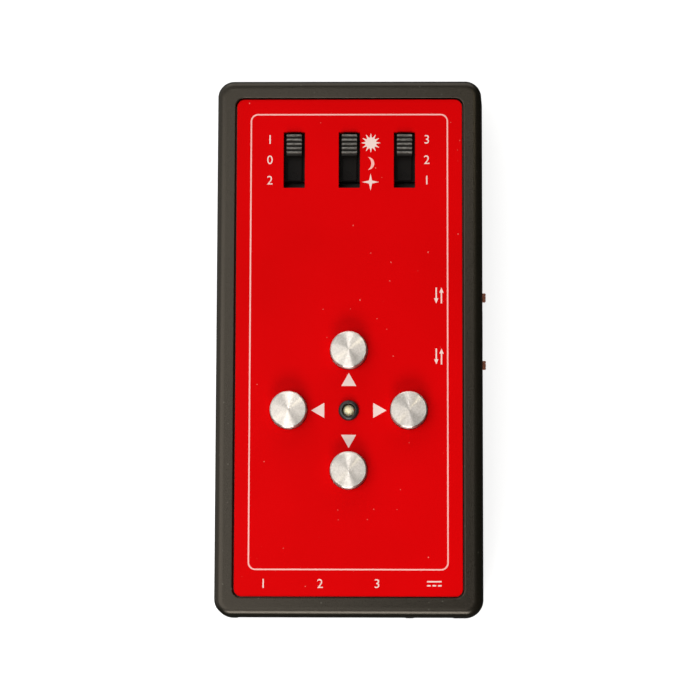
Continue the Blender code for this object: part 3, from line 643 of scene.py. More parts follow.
def make_case_front():
    """The front half: drafted wall, rounded rim, bezel, and the recess and ledge of the plate."""
    low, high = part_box("front_shell")
    plate_low, plate_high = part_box("front_plate")
    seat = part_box("circuit_board")[1].z + GAP
    half_x = high.x
    half_y = high.y
    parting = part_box("rear_cover")[1].z - LIP_HEIGHT + GAP / 2
    top = high.z
    rings = []
    for inset, rise in arc(PARTING_ROUND, 4):
        turn = PARTING_ROUND - rise
        rings.append(
            ring(half_x - turn, half_y - turn, CASE_CORNER - turn, parting + inset)
        )
    rim = CASE_DRAFT
    rings.append(ring(half_x, half_y, CASE_CORNER, parting + PARTING_ROUND + BORDER))
    rings.append(
        ring(half_x - rim, half_y - rim, CASE_CORNER - rim, top - FRONT_DROP - BORDER)
    )
    for inset, rise in arc(FRONT_ROUND):
        taken = rim + inset
        rings.append(
            ring(
                half_x - taken, half_y - taken, CASE_CORNER - taken,
                top - FRONT_DROP * (1 - rise / FRONT_ROUND),
            )
        )
    taken = rim + FRONT_ROUND + BORDER
    rings.append(ring(half_x - taken, half_y - taken, CASE_CORNER - taken, top))
    recess_x = plate_high.x + RECESS_GAP
    recess_y = plate_high.y + RECESS_GAP
    out = RECESS_ROUND + BORDER
    rings.append(ring(recess_x + out, recess_y + out, RECESS_CORNER + out, top))
    for inset, rise in arc(RECESS_ROUND, 4):
        out = RECESS_ROUND - rise
        rings.append(
            ring(recess_x + out, recess_y + out, RECESS_CORNER + out, top - inset)
        )
    ledge = plate_low.z - GAP
    window_x = plate_high.x - LEDGE_WIDTH
    window_y = plate_high.y - LEDGE_WIDTH
    inner_x = half_x - WALL
    inner_y = half_y - WALL
    inner_corner = CASE_CORNER - WALL
    rings += [
        ring(recess_x, recess_y, RECESS_CORNER, ledge),
        ring(window_x, window_y, MM, ledge),
        ring(window_x, window_y, MM, ledge - LEDGE_THICK),
        ring(inner_x, inner_y, inner_corner, ledge - LEDGE_THICK),
        ring(inner_x, inner_y, inner_corner, parting),
    ]
    work = bmesh.new()
    loft(work, rings, closed=True)
    shell = place_piece("case_front", work, CASE_PLASTIC)
    bosses = []
    bores = []
    for number in range(1, 5):
        screw_low, screw_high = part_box(f"case_screw_{number}")
        spot = middle(screw_low, screw_high)
        boss = straight_drum(CASE_BOSS, CASE_BOSS_FOOT, ledge - GAP)
        bosses.append(drum_tool("boss", spot, boss))
        pilot = straight_drum(CASE_BORE, CASE_BOSS_FOOT - MM, CASE_BORE_TOP)
        bores.append(drum_tool("bore", spot, pilot, BORE_SIDES))
        screw_low, screw_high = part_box(f"board_screw_{number}")
        spot = middle(screw_low, screw_high)
        bosses.append(drum_tool("boss", spot, straight_drum(BOARD_BOSS, seat, ledge - GAP)))
        pilot = straight_drum(BOARD_PILOT, seat - MM, seat + PILOT_DEPTH)
        bores.append(drum_tool("bore", spot, pilot, BORE_SIDES))
    combine(shell, bosses, "UNION")
    combine(shell, bores, "DIFFERENCE")
    combine(shell, list(case_openings()), "DIFFERENCE")
    level_normals(shell)
    tie(shell, "case", ("front_shell",))


def middle(low, high):
    """The centre of a box in plan."""
    return (low.x + high.x) / 2, (low.y + high.y) / 2


def make_case_back():
    """The back half: rounded towards the table, with a lip and four counterbored posts."""
    low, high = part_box("rear_cover")
    half_x = high.x
    half_y = high.y
    parting = high.z - LIP_HEIGHT - GAP / 2
    inner_x = half_x - WALL
    inner_y = half_y - WALL
    inner_corner = CASE_CORNER - WALL
    rings = []
    for inset, rise in reversed(list(arc(BACK_ROUND))):
        taken = CASE_DRAFT + inset
        rings.append(
            ring(half_x - taken, half_y - taken, CASE_CORNER - taken, BACK_ROUND - rise)
        )
    rings.append(
        ring(
            half_x - CASE_DRAFT, half_y - CASE_DRAFT, CASE_CORNER - CASE_DRAFT,
            BACK_ROUND + BORDER,
        )
    )
    rings.append(ring(half_x, half_y, CASE_CORNER, parting - PARTING_ROUND - BORDER))
    for inset, rise in arc(PARTING_ROUND, 4):
        rings.append(
            ring(
                half_x - inset, half_y - inset, CASE_CORNER - inset,
                parting - PARTING_ROUND + rise,
            )
        )
    lip_x = inner_x - GAP
    lip_y = inner_y - GAP
    lip_corner = inner_corner - GAP
    rings += [
        ring(lip_x, lip_y, lip_corner, parting),
        ring(lip_x, lip_y, lip_corner, high.z),
        ring(lip_x - LIP_WALL, lip_y - LIP_WALL, lip_corner - LIP_WALL, high.z),
        ring(
            lip_x - LIP_WALL, lip_y - LIP_WALL, lip_corner - LIP_WALL,
            parting - LIP_SKIRT + GAP / 2,
        ),
        ring(inner_x, inner_y, inner_corner, parting - LIP_SKIRT + GAP / 2),
        ring(inner_x, inner_y, inner_corner, BACK_WALL),
    ]
    work = bmesh.new()
    loft(work, rings, bottom=True, top=True)
    shell = place_piece("case_back", work, CASE_PLASTIC)
    posts = []
    holes = []
    for number in range(1, 5):
        spot = middle(*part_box(f"case_screw_{number}"))
        posts.append(drum_tool("post", spot, straight_drum(POST, POST_FOOT, POST_TOP)))
        room = straight_drum(POST + POST_CLEAR, POST_TOP, POST_ROOM_TOP)
        holes.append(drum_tool("room", spot, room))
        bore = straight_drum(CASE_BORE, POST_BORE_FOOT, POST_TOP + MM)
        holes.append(drum_tool("bore", spot, bore, BORE_SIDES))
        bore = flared_hole(COUNTERBORE, -COUNTERBORE_DEPTH, 0.0, MOUTH_CHAMFER)
        bore = [(radius, -height) for radius, height in reversed(bore)]
        holes.append(drum_tool("counterbore", spot, bore))
    combine(shell, posts, "UNION")
    combine(shell, holes, "DIFFERENCE")
    combine(shell, list(case_openings()), "DIFFERENCE")
    level_normals(shell)
    tie(shell, "case", ("rear_cover",))


# ---------------------------------------------------------------- the printed plate


def make_plate():
    """The red plate with its broken edges, slots and holes."""
    low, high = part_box("front_plate")
    rings = [
        ring(high.x, high.y, PLATE_CORNER, low.z),
    ]
    for inset, rise in arc(PLATE_EDGE, 4):
        rings.append(
            ring(high.x - inset, high.y - inset, PLATE_CORNER - inset, high.z - PLATE_EDGE + rise)
        )
    inset = PLATE_EDGE + BORDER
    rings.append(ring(high.x - inset, high.y - inset, PLATE_CORNER - inset, high.z))
    work = bmesh.new()
    loft(work, rings, bottom=True, top=True)
    plate = place_piece("printed_plate", work, RED_PLATE)
    below = low.z - MM
    tools = []
    for label in ("up", "down", "left", "right"):
        spot = middle(*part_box(f"button_cap_{label}"))
        hole = flared_hole(BUTTON_HOLE_RADIUS, below, high.z, HOLE_EDGE)
        tools.append(drum_tool("hole", spot, hole, 96, RED_PLATE))
    spot = middle(*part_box("led"))
    hole = flared_hole(LAMP_HOLE_RADIUS, below, high.z, HOLE_EDGE)
    tools.append(drum_tool("hole", spot, hole, 64, RED_PLATE))
    for label in ("hemisphere", "tracking", "speed"):
        spot = (middle(*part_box(f"slider_{label}"))[0], SLOT_CENTRE_Y)
        half_x = SLOT_WIDTH / 2
        half_y = SLOT_LENGTH / 2
        flare = HOLE_EDGE
        slot = bmesh.new()
        loft(
            slot,
            [
                ring(half_x, half_y, SLOT_CORNER, below, spot, 5),
                ring(half_x, half_y, SLOT_CORNER, high.z - flare, spot, 5),
                ring(
                    half_x + 2 * flare, half_y + 2 * flare, SLOT_CORNER + 2 * flare,
                    high.z + flare, spot, 5,
                ),
            ],
            bottom=True, top=True,
        )
        tools.append(place_piece("slot", slot, RED_PLATE))
    combine(plate, tools, "DIFFERENCE")
    level_normals(plate)
    tie(plate, "case", ("front_plate",))


def printed(name, work, ink=None):
    """A printed mark: flat shapes given the thickness of the ink, on the plate's face."""
    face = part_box("front_plate")[1].z
    made = bmesh.ops.extrude_face_region(work, geom=list(work.faces))["geom"]
    moved = [item for item in made if isinstance(item, bmesh.types.BMVert)]
    for vert in work.verts:
        vert.co.z = face - INK
    for vert in moved:
        vert.co.z = face + INK
    place_piece(f"print_{name}", work, ink or PRINT_INK, "case", ())


def polygon(work, points):
    work.faces.new([work.verts.new((x, y, 0.0)) for x, y in points])


def stroke(work, points, width):
    """A ribbon of a width along a line of points."""
    sides = []
    for index, here in enumerate(points):
        before = Vector(points[max(index - 1, 0)])
        after = Vector(points[min(index + 1, len(points) - 1)])
        along = (after - before).normalized()
        across = Vector((-along.y, along.x)) * width / 2
        edges = (Vector(here) + across, Vector(here) - across)
        sides.append([work.verts.new((edge.x, edge.y, 0.0)) for edge in edges])
    for first, second in zip(sides, sides[1:]):
        work.faces.new((first[0], first[1], second[1], second[0]))


FRAME_LEFT = -24.8 * MM
FRAME_RIGHT = 24.7 * MM
FRAME_TOP = 58.65 * MM
FRAME_BOTTOM = -55.85 * MM
FRAME_CORNER = 1.7 * MM
FRAME_LINE = 0.36 * MM


def make_frame_line():
    """The thin line round the face."""
    right = FRAME_RIGHT - FRAME_CORNER
    left = FRAME_LEFT + FRAME_CORNER
    top = FRAME_TOP - FRAME_CORNER
    bottom = FRAME_BOTTOM + FRAME_CORNER
    middle_x = (left + right) / 2
    line = [(middle_x, FRAME_BOTTOM)]
    corners = ((right, bottom, 270), (right, top, 0), (left, top, 90), (left, bottom, 180))
    for x, y, first in corners:
        for step in range(9):
            angle = math.radians(first + step * 90 / 8)
            line.append((x + FRAME_CORNER * math.cos(angle), y + FRAME_CORNER * math.sin(angle)))
    line.append((middle_x, FRAME_BOTTOM))
    work = bmesh.new()
    stroke(work, line, FRAME_LINE)
    printed("frame_line", work, THIN_INK)


SUN = (5.4 * MM, 51.4 * MM)
SUN_REACH = 2.36 * MM
SUN_RADIUS = 1.36 * MM
SUN_RAYS = 12
SUN_ROOT = 1.52 * MM
RAY_TIP = 0.06 * MM
RAY_ROOT = 0.22 * MM
MOON = (4.68 * MM, 46.15 * MM)
MOON_HALF = 1.63 * MM
MOON_BULGE = (1.6 * MM, 0.85 * MM)
STAR = (5.34 * MM, 41.4 * MM)
STAR_REACH = 2.15 * MM
STAR_WAIST = 0.55 * MM


def make_signs():
    """The sun, the crescent and the four-pointed star beside the middle switch."""
    work = bmesh.new()
    tip = math.atan(RAY_TIP / SUN_REACH)
    root = math.atan(RAY_ROOT / SUN_ROOT)
    valley = math.pi / SUN_RAYS
    polygon(work, [
        (SUN[0] + reach * math.cos(angle + turn), SUN[1] + reach * math.sin(angle + turn))
        for step in range(SUN_RAYS)
        for angle in [math.tau * step / SUN_RAYS]
        for turn, reach in (
            (-valley, SUN_RADIUS), (-root, SUN_ROOT), (-tip, SUN_REACH), (tip, SUN_REACH),
            (root, SUN_ROOT),
        )
    ])
    printed("sun", work)

    def bow(bulge):
        """An arc between the crescent's tips, bulging to +X."""
        radius = (MOON_HALF ** 2 + bulge ** 2) / (2 * bulge)
        reach = math.asin(min(1.0, MOON_HALF / radius))
        for step in range(25):
            angle = reach * (step / 12 - 1)
            yield (
                MOON[0] + bulge - radius + radius * math.cos(angle),
                MOON[1] + radius * math.sin(angle),
            )

    work = bmesh.new()
    outer = list(bow(MOON_BULGE[0]))
    inner = list(bow(MOON_BULGE[1]))
    polygon(work, outer + inner[-2:0:-1])
    printed("moon", work, THIN_INK)

    work = bmesh.new()
    polygon(work, [
        (
            STAR[0] + reach * math.cos(math.pi * step / 4),
            STAR[1] + reach * math.sin(math.pi * step / 4),
        )
        for step in range(8)
        for reach in [STAR_WAIST if step % 2 else STAR_REACH]
    ])
    printed("star", work)


ARROW_TIP = 9.4 * MM
ARROW_BASE = 6.1 * MM
ARROW_HALF = 1.88 * MM


def make_arrows():
    """Four arrowheads that point from the lamp to the buttons."""
    centre = Vector(middle(*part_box("led")))
    work = bmesh.new()
    for turn in range(4):
        spin = Matrix.Rotation(turn * math.pi / 2, 2)
        corners = ((ARROW_TIP, 0.0), (ARROW_BASE, ARROW_HALF), (ARROW_BASE, -ARROW_HALF))
        polygon(work, [centre + spin @ Vector(corner) for corner in corners])
    printed("arrows", work)


NUMERAL_HEIGHT = 2.2 * MM
POSITION_PITCH = 5.2 * MM
LEFT_NUMERALS_X = -20.05 * MM
RIGHT_NUMERALS_X = 19.5 * MM
PORT_MARKS_Y = -59.3 * MM


def make_numeral(name, digit, x, y):
    """A plain printed numeral, centred on a place."""
    curve = bpy.data.curves.new(name, "FONT")
    curve.body = digit
    curve.resolution_u = 6
    text = bpy.data.objects.new(name, curve)
    PIECES.objects.link(text)
    bpy.context.view_layer.update()
    mesh = bpy.data.meshes.new_from_object(
        text.evaluated_get(bpy.context.evaluated_depsgraph_get())
    )
    bpy.data.objects.remove(text, do_unlink=True)
    work = bmesh.new()
    work.from_mesh(mesh)
    bpy.data.meshes.remove(mesh)
    bmesh.ops.remove_doubles(work, verts=work.verts, dist=0.0001)
    across = [vert.co.x for vert in work.verts]
    along = [vert.co.y for vert in work.verts]
    scale = NUMERAL_HEIGHT / (max(along) - min(along))
    centre_x = (max(across) + min(across)) / 2
    centre_y = (max(along) + min(along)) / 2
    for vert in work.verts:
        vert.co.x = x + (vert.co.x - centre_x) * scale
        vert.co.y = y + (vert.co.y - centre_y) * scale
    printed(name, work)


def make_numerals():
    """Numbers for the switches' positions and for the three sockets."""
    for row, (left, right) in enumerate((("1", "3"), ("0", "2"), ("2", "1"))):
        y = SLOT_CENTRE_Y + (1 - row) * POSITION_PITCH
        make_numeral(f"left_position_{row}", left, LEFT_NUMERALS_X, y)
        make_numeral(f"right_position_{row}", right, RIGHT_NUMERALS_X, y)
    for number, label in enumerate(("ra", "dec", "guide"), 1):
        x = middle(*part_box(f"jack_{label}"))[0]
        make_numeral(f"port_{number}", str(number), x, PORT_MARKS_Y)


DIRECT_BAR = 3.6 * MM
DIRECT_DASH = 0.9 * MM
DIRECT_GAP = 1.0 * MM


def make_power_sign():
    """The common sign for direct current: a bar above three dashes."""
    x = middle(*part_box("power_jack"))[0]
    work = bmesh.new()
    upper = PORT_MARKS_Y + DIRECT_GAP / 2
    lower = PORT_MARKS_Y - DIRECT_GAP / 2
    stroke(work, [(x - DIRECT_BAR / 2, upper), (x + DIRECT_BAR / 2, upper)], FRAME_LINE)
    for side in (-1, 0, 1):
        centre = x + side * (DIRECT_BAR - DIRECT_DASH) / 2
        ends = [(centre - DIRECT_DASH / 2, lower), (centre + DIRECT_DASH / 2, lower)]
        stroke(work, ends, FRAME_LINE)
    printed("power_sign", work)


REVERSE_X = 22.5 * MM
REVERSE_SPREAD = 0.65 * MM
REVERSE_LENGTH = 4.0 * MM
REVERSE_HEAD = 1.3 * MM
REVERSE_HALF = 0.55 * MM


def make_reverse_signs():
    """Two opposed arrows beside each of the side switches."""
    half = REVERSE_LENGTH / 2
    neck = half - REVERSE_HEAD
    line = FRAME_LINE / 2
    arrow = (
        (-line, -half), (line, -half), (line, neck), (REVERSE_HALF, neck), (0.0, half),
        (-REVERSE_HALF, neck), (-line, neck),
    )
    for label in ("invert_ra", "invert_dec"):
        y = middle(*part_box(f"side_switch_{label}"))[1]
        work = bmesh.new()
        for way in (-1, 1):
            x = REVERSE_X + way * REVERSE_SPREAD
            polygon(work, [(x + way * across, y + way * along) for across, along in arrow])
        printed(f"reverse_{label}", work)


# ---------------------------------------------------------------- buttons and lamp


def make_cap(label):
    """A turned cap: a faced top with fine rings, a bright chamfer, a flange and a bore."""
    low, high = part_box(f"button_cap_{label}")
    spot = middle(low, high)
    flange = (high.x - low.x) / 2
    radius = CAP_RADIUS
    profile = [
        (0, low.z + CAP_BORE_DEPTH),
        (CAP_BORE_RADIUS, low.z + CAP_BORE_DEPTH),
        (CAP_BORE_RADIUS, low.z),
        (flange, low.z),
        (flange, low.z + FLANGE_THICK),
        (radius, low.z + FLANGE_THICK),
    ]
    for share in (0.2, 0.4, 0.6, 0.8):
        profile.append((radius, low.z + FLANGE_THICK + share * (high.z - low.z - FLANGE_THICK)))
    profile += [
        (radius, high.z - CAP_CROWN - CAP_CHAMFER),
        (radius - 0.35 * CAP_CHAMFER, high.z - CAP_CROWN - 0.40 * CAP_CHAMFER),
        (radius - CAP_CHAMFER, high.z - CAP_CROWN),
    ]
    face = radius - CAP_CHAMFER

    def crown(reach):
        """How far the face has fallen from its middle."""
        return CAP_CROWN * reach / face

    grooves = int((face - CENTRE_DIMPLE) / GROOVE_PITCH)
    for groove in range(grooves):
        outer = face - (groove + 0.35) * GROOVE_PITCH
        inner = face - (groove + 1.0) * GROOVE_PITCH
        profile.append((outer, high.z - GROOVE_DEPTH - crown(outer)))
        profile.append((inner, high.z - crown(inner)))
    profile.append((CENTRE_DIMPLE, high.z - 0.02 * MM))
    profile.append((0, high.z - 0.12 * MM))
    work = bmesh.new()
    lathe(work, profile, spot, CAP_SIDES)
    place_piece(
        f"turned_cap_{label}", work, TURNED_ALUMINIUM, f"button_{label}",
        (f"button_cap_{label}",), angle=30,
    )


def make_lamp():
    """The lamp's diffused dome, and the clip bezel round it."""
    low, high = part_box("led")
    spot = middle(low, high)
    radius = LAMP_RADIUS
    foot = LAMP_FOOT
    bezel_low, bezel_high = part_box("led_bezel")
    foot_top = bezel_low.z - GAP
    foot_low = foot_top - MM
    profile = [(0, foot_low), (foot, foot_low), (foot, foot_top), (radius, foot_top)]
    dome = high.z - radius
    for step in range(17):
        angle = step / 16 * math.pi / 2
        reach = radius * math.cos(angle) if step < 16 else 0
        profile.append((reach, dome + radius * math.sin(angle)))
    work = bmesh.new()
    lathe(work, profile, spot, 64)
    for side in (-1, 1):
        centre = spot[0] + side * LAMP_LEG_PLACE
        rounded_box(
            work,
            (centre - LAMP_LEG, spot[1] - LAMP_LEG, low.z),
            (centre + LAMP_LEG, spot[1] + LAMP_LEG, foot_low + 0.5 * MM),
            0.05 * MM, 1,
        )
    place_piece("lamp", work, LENS_PLASTIC, "case", ("led",))

    bore = BEZEL_BORE
    sleeve = BEZEL_SLEEVE
    rim = (bezel_high.x - bezel_low.x) / 2
    rim_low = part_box("front_plate")[1].z + 0.05 * MM
    profile = [(bore, bezel_low.z), (sleeve, bezel_low.z), (sleeve, rim_low), (rim, rim_low)]
    for inset, height in arc(BEZEL_ROUND, 10):
        profile.append((rim - inset, bezel_high.z - BEZEL_ROUND + height))
    for step in range(1, 6):
        angle = step / 5 * math.pi / 2
        profile.append((
            bore + BEZEL_EDGE * (1 - math.sin(angle)),
            bezel_high.z - BEZEL_EDGE * (1 - math.cos(angle)),
        ))
    work = bmesh.new()
    lathe(work, profile, spot, 72, closed=True)
    place_piece(
        "lamp_bezel", work, BEZEL_PLASTIC, "case", ("led_bezel",), angle=40
    )


# ---------------------------------------------------------------- switches


def extrude_outline(work, outline, low, high, edge):
    """Pulls an outline in the YZ plane from one X to another, with broken end edges."""
    middle_y = sum(y for y, z in outline) / len(outline)
    middle_z = sum(z for y, z in outline) / len(outline)

    def section(x, inset):
        points = []
        for y, z in outline:
            away = Vector((y - middle_y, z - middle_z))
            away -= away.normalized() * inset
            points.append((x, middle_y + away.x, middle_z + away.y))
        return points

    loft(
        work,
        [section(low, edge), section(low + edge, 0), section(high - edge, 0), section(high, edge)],
        bottom=True, top=True,
    )


def make_slider(label):
    """A slider: its body in the frame, the skirt with its ejector mark, and the ribbed knob."""
    low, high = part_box(f"slider_{label}")
    x, y = middle(low, high)
    frame_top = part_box(f"slide_frame_{label}")[1].z
    skirt_top = frame_top - SKIRT_DROP
    work = bmesh.new()
    rounded_box(work, low, (high.x, high.y, skirt_top - SKIRT_DROP), 0.15 * MM, 2)
    body = place_piece(f"slide_knob_{label}", work, SWITCH_PLASTIC)

    work = bmesh.new()
    half = SKIRT_WIDTH / 2
    rounded_box(
        work,
        (x - half, y - SKIRT_HALF, skirt_top - 1.5 * MM),
        (x + half, y + SKIRT_HALF, skirt_top),
        0.12 * MM, 2,
    )
    skirt = place_piece("skirt", work, SWITCH_PLASTIC)

    half = KNOB_LENGTH / 2
    pitch = KNOB_LENGTH / KNOB_RIBS
    top = high.z
    outline = [(y - half, skirt_top - MM), (y + half, skirt_top - MM)]
    for rib in range(KNOB_RIBS):
        back = y + half - rib * pitch
        outline += [
            (back, top - RIB_DEPTH),
            (back - 0.10 * pitch, top - 0.10 * MM),
            (back - 0.20 * pitch, top),
            (back - 0.42 * pitch, top),
            (back - 0.54 * pitch, top - 0.12 * MM),
            (back - 0.68 * pitch, top - RIB_DEPTH),
        ]
    outline.append((y - half, top - RIB_DEPTH))
    work = bmesh.new()
    extrude_outline(work, outline, x - KNOB_WIDTH / 2, x + KNOB_WIDTH / 2, 0.12 * MM)
    knob = place_piece("knob", work, SWITCH_PLASTIC)
    combine(body, [skirt, knob], "UNION")
    mark = bmesh.new()
    outer = EJECTOR_RADIUS
    inner = EJECTOR_RADIUS - 0.2 * MM
    lathe(
        mark,
        [
            (outer, skirt_top - EJECTOR_DEPTH), (outer, skirt_top + MM),
            (inner, skirt_top + MM), (inner, skirt_top - EJECTOR_DEPTH),
        ],
        (x, y - half - EJECTOR_DROP), 40, closed=True,
    )
    combine(body, [place_piece("mark", mark, SWITCH_PLASTIC)], "DIFFERENCE")
    level_normals(body, 30)
    tie(body, f"{label}_switch", (f"slider_{label}",))


def make_side_knob(label):
    """The small knob of a side switch, with its foot inside the case."""
    low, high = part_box(f"side_knob_{label}")
    switch_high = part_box(f"side_switch_{label}")[1]
    foot_out = switch_high.x - 0.8 * MM
    x, y = middle(low, high)
    work = bmesh.new()
    rounded_box(work, low, (foot_out, high.y, high.z), 0.12 * MM, 2)
    knob = place_piece(f"reversing_knob_{label}", work, SIDE_KNOB_PLASTIC)
    work = bmesh.new()
    rounded_box(
        work,
        (foot_out - 0.7 * MM, y - 1.1 * MM, low.z + 0.1 * MM),
        (high.x, y + 1.1 * MM, high.z - 0.1 * MM),
        0.22 * MM, 4,
    )
    stem = place_piece("stem", work, SIDE_KNOB_PLASTIC)
    combine(knob, [stem], "UNION")
    grooves = [
        box_tool(
            "groove",
            (high.x - 0.2 * MM, y + place - 0.12 * MM, low.z - MM),
            (high.x + MM, y + place + 0.12 * MM, high.z + MM),
        )
        for place in (-0.45 * MM, 0.45 * MM)
    ]
    combine(knob, grooves, "DIFFERENCE")
    level_normals(knob, 30)
    tie(knob, f"{label}_switch", (f"side_knob_{label}",))


# ---------------------------------------------------------------- sockets


def tube(work, points, radius, sides=10):
    """A round wire along points that lie in one plane across X."""
    rings = []
    for index, here in enumerate(points):
        before = Vector(points[max(index - 1, 0)])
        after = Vector(points[min(index + 1, len(points) - 1)])
        along = (after - before).normalized()
        upright = along.cross(Vector((1.0, 0.0, 0.0)))
        rings.append([
            Vector(here)
            + radius * math.cos(math.tau * step / sides) * Vector((1.0, 0.0, 0.0))
            + radius * math.sin(math.tau * step / sides) * upright
            for step in range(sides)
        ])
    loft(work, rings, bottom=True, top=True)


MOUTH_WIDTH = 9.9 * MM
MOUTH_HEIGHT = 6.8 * MM
MOUTH_DEPTH = 12.5 * MM
MOUTH_FLOOR = 1.0 * MM
LATCH_STEPS = ((6.2 * MM, 1.6 * MM), (3.4 * MM, 1.4 * MM))


def make_jack(label):
    """A six-way modular socket: mouth, latch steps, and six sprung wires on a carrier."""
    low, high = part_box(f"jack_{label}")
    x = (low.x + high.x) / 2
    work = bmesh.new()
    rounded_box(work, low, high, 0.25 * MM, 3)
    body = place_piece(f"socket_{label}", work, SOCKET_PLASTIC)
    floor = low.z + MOUTH_FLOOR
    level = floor + MOUTH_HEIGHT
    back = low.y + MOUTH_DEPTH
    tools = [
        mouth_tool(
            "mouth", (x - MOUTH_WIDTH / 2, low.y, floor), (x + MOUTH_WIDTH / 2, back, level),
            low.y, "-y", 0.2 * MM, 0.2 * MM,
        )
    ]
    for width, height in LATCH_STEPS:
        tools.append(
            mouth_tool(
                "latch", (x - width / 2, low.y, level - MM), (x + width / 2, back, level + height),
                low.y, "-y", 0.15 * MM, 0.15 * MM,
            )
        )
        level += height
    combine(body, tools, "DIFFERENCE")
    level_normals(body, 30)
    tie(body, "case", (f"jack_{label}",))

    low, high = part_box(f"contacts_{label}")
    front = high.y - 2.6 * MM
    carrier_top = low.z + 5.3 * MM
    work = bmesh.new()
    rounded_box(work, (low.x, front, low.z), (high.x, high.y, carrier_top), 0.15 * MM, 2)
    carrier = place_piece(f"contact_carrier_{label}", work, SOCKET_PLASTIC)
    slots = [
        box_tool(
            "comb",
            (x + place - 0.3 * MM, front - MM, low.z + 3.0 * MM),
            (x + place + 0.3 * MM, front + 0.8 * MM, carrier_top + MM),
        )
        for place in wire_places()
    ]
    combine(carrier, slots, "DIFFERENCE")
    level_normals(carrier, 30)
    tie(carrier, "case", ())

    work = bmesh.new()
    for place in wire_places():
        points = []
        for step in range(17):
            share = step / 16
            slope = 0.5 - 0.5 * math.cos(math.pi * min(1.0, share * 1.15))
            points.append((
                x + place,
                front + 0.7 * MM - share * (front + 0.7 * MM - low.y - 0.25 * MM),
                low.z + 4.2 * MM - slope * 3.9 * MM,
            ))
        tube(work, points, 0.2 * MM)
    place_piece(
        f"contact_wires_{label}", work, CONTACT_METAL, "case", (f"contacts_{label}",),
        angle=50,
    )


def wire_places():
    return [(number - 2.5) * 1.02 * MM for number in range(6)]


def make_power_socket():
    """The barrel socket with its bore, and its centre pin."""
    low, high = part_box("power_jack")
    pin_low, pin_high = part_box("power_pin")
    x = (low.x + high.x) / 2
    z = (pin_low.z + pin_high.z) / 2
    work = bmesh.new()
    rounded_box(work, low, high, 0.3 * MM, 3)
    body = place_piece("barrel_socket", work, SOCKET_PLASTIC)
    bore = bmesh.new()
    radius = 3.15 * MM
    lathe(bore, flared_hole(radius, -9.5 * MM, 0.0, 0.2 * MM), (0.0, 0.0), 64)
    bmesh.ops.rotate(bore, matrix=Matrix.Rotation(math.pi / 2, 3, "X"), verts=bore.verts)
    bmesh.ops.translate(bore, vec=(x, low.y, z), verts=bore.verts)
    combine(body, [place_piece("bore", bore, SOCKET_PLASTIC)], "DIFFERENCE")
    level_normals(body, 30)
    tie(body, "case", ("power_jack",))

    radius = (pin_high.x - pin_low.x) / 2
    length = pin_high.y - pin_low.y
    profile = [(0, 0), (radius, 0)]
    for inset, rise in arc(0.7 * MM, 8):
        profile.append((radius - inset, length - 0.7 * MM + rise))
    profile.append((0, length))
    work = bmesh.new()
    lathe(work, profile, (0.0, 0.0), 40)
    bmesh.ops.rotate(work, matrix=Matrix.Rotation(math.pi / 2, 3, "X"), verts=work.verts)
    bmesh.ops.translate(work, vec=(x, pin_high.y, z), verts=work.verts)
    place_piece("barrel_pin", work, SWITCH_STEEL, "case", ("power_pin",))


# ---------------------------------------------------------------- screws


def make_screw(name, node, under, head_edge):
    """A pan-head screw, point up, with a thread and a cross recess in its head."""
    low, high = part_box(node)
    x, y = middle(low, high)
    head = (high.x - low.x) / 2
    shank = 1.4 * MM if head > 2.5 * MM else 1.1 * MM
    profile = [(0, low.z)]
    for inset, rise in reversed(list(arc(head_edge, 6))):
        profile.append((head - inset, low.z + head_edge - rise))
    profile += [(head, under), (shank, under)]
    pitch = 0.6 * MM
    turns = int((high.z - under - 1.4 * MM) / pitch)
    for turn in range(turns):
        base = under + 0.4 * MM + turn * pitch
        profile += [(shank - 0.25 * MM, base), (shank, base + 0.3 * MM)]
    profile += [(shank - 0.25 * MM, high.z - 0.8 * MM), (0.4 * MM, high.z), (0, high.z)]
    work = bmesh.new()
    lathe(work, profile, (x, y), 40)
    screw = place_piece(name, work, SCREW_STEEL)
    tools = []
    for turn in range(2):
        tool = bmesh.new()
        made = bmesh.ops.create_cube(tool, size=1.0)["verts"]
        bmesh.ops.scale(tool, vec=(1.15 * head, 0.28 * head, 2.4 * MM), verts=made)
        for vert in made:
            if vert.co.z > 0:
                vert.co.x *= 0.55
                vert.co.y *= 0.6
        bmesh.ops.rotate(tool, matrix=Matrix.Rotation(turn * math.pi / 2, 3, "Z"), verts=made)
        bmesh.ops.translate(tool, vec=(x, y, low.z), verts=made)
        tools.append(place_piece("cross", tool, SCREW_STEEL))
    combine(screw, tools, "DIFFERENCE")
    level_normals(screw, 30)
    tie(screw, "case", (node,))


# ---------------------------------------------------------------- carried-over CAD nodes

NODE_MATERIALS = {
    "circuit_board": BOARD_RESIN,
    "plunger": SWITCH_PLASTIC,
    "tact_switch": SWITCH_PLASTIC,
    "slide_frame": SWITCH_STEEL,
    "slide_base": SWITCH_BASE,
    "side_switch": SWITCH_STEEL,
    "microcontroller": CHIP_RESIN,
    "motor_driver": CHIP_RESIN,
    "regulator": CHIP_RESIN,
    "crystal": SWITCH_STEEL,
    "supply_capacitor": CHIP_RESIN,
}


def dress_nodes():
    """Gives every CAD node that stays its finished material."""
    for name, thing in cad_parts.items():
        for start_of_name, material in NODE_MATERIALS.items():
            if name.startswith(start_of_name):
                thing.material_slots[0].material = material


# ---------------------------------------------------------------- floor, light and camera


FLOOR_HALF = 6.0
LIGHT_AIM = (0.0, 0.0, 0.02)


